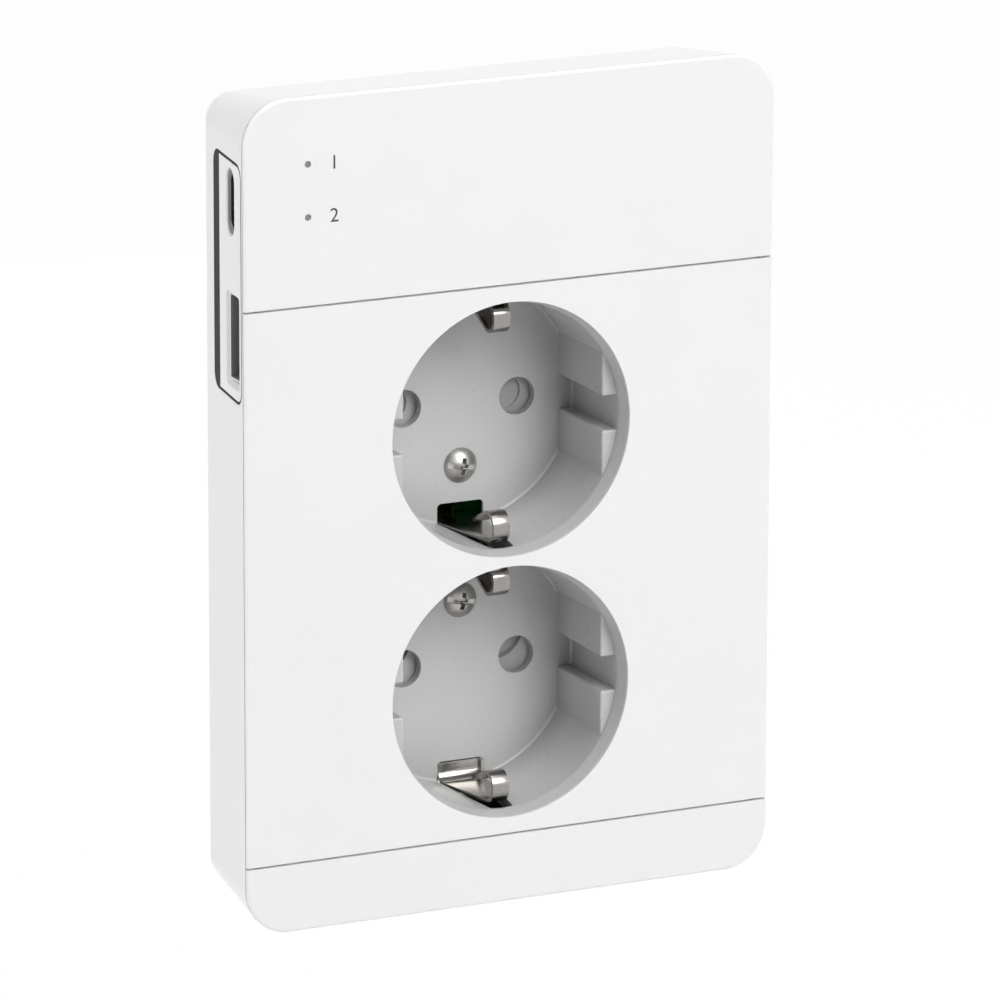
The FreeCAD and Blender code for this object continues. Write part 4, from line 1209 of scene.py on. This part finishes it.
@dataclass
class Studio:
    """Camera, lamps, floor and white surroundings."""

    yaw_deg: float = -25.49
    pitch_deg: float = 15.11
    roll_deg: float = 0.15
    distance_mm: float = 1283.62
    slide_mm: tuple[float, float] = (6.81, -5.64)
    aim_z_mm: float = 10.49
    focal_px: float = 8443.12
    image_px: tuple[int, int] = (999, 1000)
    sensor_mm: float = 36.0
    clip_m: tuple[float, float] = (0.05, 50.0)
    floor_drop_m: float = 0.30
    floor_size_m: float = 12.0
    floor_paint: FloorPaint = FloorPaint("white_painted_floor", "#F4F4F4")
    sky_level: float = 0.15
    lamps: tuple[Lamp, ...] = (
        Lamp("key_softbox", (0.20, -0.76, 0.62), 0.83, 1.0, 1.6),
        Lamp("left_softbox", (-1.0, 0.15, 0.10), 0.44, 0.9, 1.5),
        Lamp("right_fill", (1.0, 0.60, 0.10), 0.36, 0.8, 1.5, mirrored=False),
        Lamp("top_softbox", (0.10, 0.12, 1.0), 0.37, 1.2, 1.4),
        Lamp("back_fill", (0.10, 1.0, 0.0), 0.36, 1.0, 1.6, mirrored=False),
    )

    def build(self) -> None:
        """Sets up everything round the object."""
        self.camera()
        aim = Vector((0, 0, self.aim_z_mm * MM))
        for lamp in self.lamps:
            lamp.build(aim)
        self.surroundings()
        self.floor()
        bpy.context.scene.view_settings.view_transform = "Standard"

    def camera(self) -> None:
        """Stands the camera where the photograph was taken from, by a fit to its outlines."""
        yaw, pitch, roll = (math.radians(a) for a in (self.yaw_deg, self.pitch_deg, self.roll_deg))
        back = Vector(
            (math.sin(yaw) * math.cos(pitch), -math.cos(yaw) * math.cos(pitch), math.sin(pitch))
        )
        level = (-back).cross(Vector((0, 0, 1))).normalized()
        upright = level.cross(-back)
        right = math.cos(roll) * level + math.sin(roll) * upright
        up = math.cos(roll) * upright - math.sin(roll) * level
        place = (back * self.distance_mm + right * self.slide_mm[0] + up * self.slide_mm[1]) * MM
        place.z += self.aim_z_mm * MM
        data = bpy.data.cameras.new("camera")
        data.sensor_width = self.sensor_mm
        data.lens = self.focal_px * self.sensor_mm / max(self.image_px)
        data.clip_start, data.clip_end = self.clip_m
        camera = bpy.data.objects.new("camera", data)
        bpy.context.scene.collection.objects.link(camera)
        turn = Matrix((right, up, back)).transposed().to_4x4()
        camera.matrix_world = Matrix.Translation(place) @ turn
        bpy.context.scene.camera = camera

    def surroundings(self) -> None:
        """Makes the world plain white to look at, and an even soft light on the object."""
        world = bpy.data.worlds.new("white_surroundings")
        bpy.context.scene.world = world
        world.use_nodes = True
        tree = world.node_tree
        tree.nodes.clear()
        light = add_node(
            tree, "ShaderNodeBackground", {"Color": (1, 1, 1, 1), "Strength": self.sky_level}
        )
        white = add_node(tree, "ShaderNodeBackground", {"Color": (1, 1, 1, 1), "Strength": 1.0})
        mixed = add_node(
            tree,
            "ShaderNodeMixShader",
            links={0: seen(tree), 1: light.outputs["Background"], 2: white.outputs["Background"]},
        )
        add_node(tree, "ShaderNodeOutputWorld", links={"Surface": mixed.outputs["Shader"]})

    def floor(self) -> None:
        """Lays a pale floor well below the socket, which would hang on a wall above it."""
        shape = bmesh.new()
        bmesh.ops.create_grid(shape, x_segments=4, y_segments=4, size=self.floor_size_m / 2)
        drop = CAD_BOX[0].z - self.floor_drop_m
        bmesh.ops.translate(shape, vec=(0, 0, drop), verts=shape.verts)
        floor = finished_object("floor", shape)
        floor.data.materials.append(self.floor_paint.build())


def dress_nodes(paints: Paintbox) -> None:
    """Gives every CAD node its finish.

    Args:
        paints: The finishes.
    """
    for paint, nodes in NODE_PAINT.items():
        for node in nodes:
            paints.dress(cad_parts[node], paint)
            LOG.info("dressed %s in %s", node, paint.value.name)


def main() -> None:
    """Builds the looks in order and reports each piece."""
    logging.basicConfig(level=logging.INFO, format="%(name)s: %(message)s")
    paints = Paintbox()
    Studio().build()
    dress_nodes(paints)
    builders = (EarthClips(paints), CoverScrews(paints), PortLips(paints), PrintedNumbers(paints))
    for builder in builders:
        for piece in builder.build():
            LOG.info("made %s with %d faces", piece.name, len(piece.data.polygons))


if __name__ == "__main__":
    main()
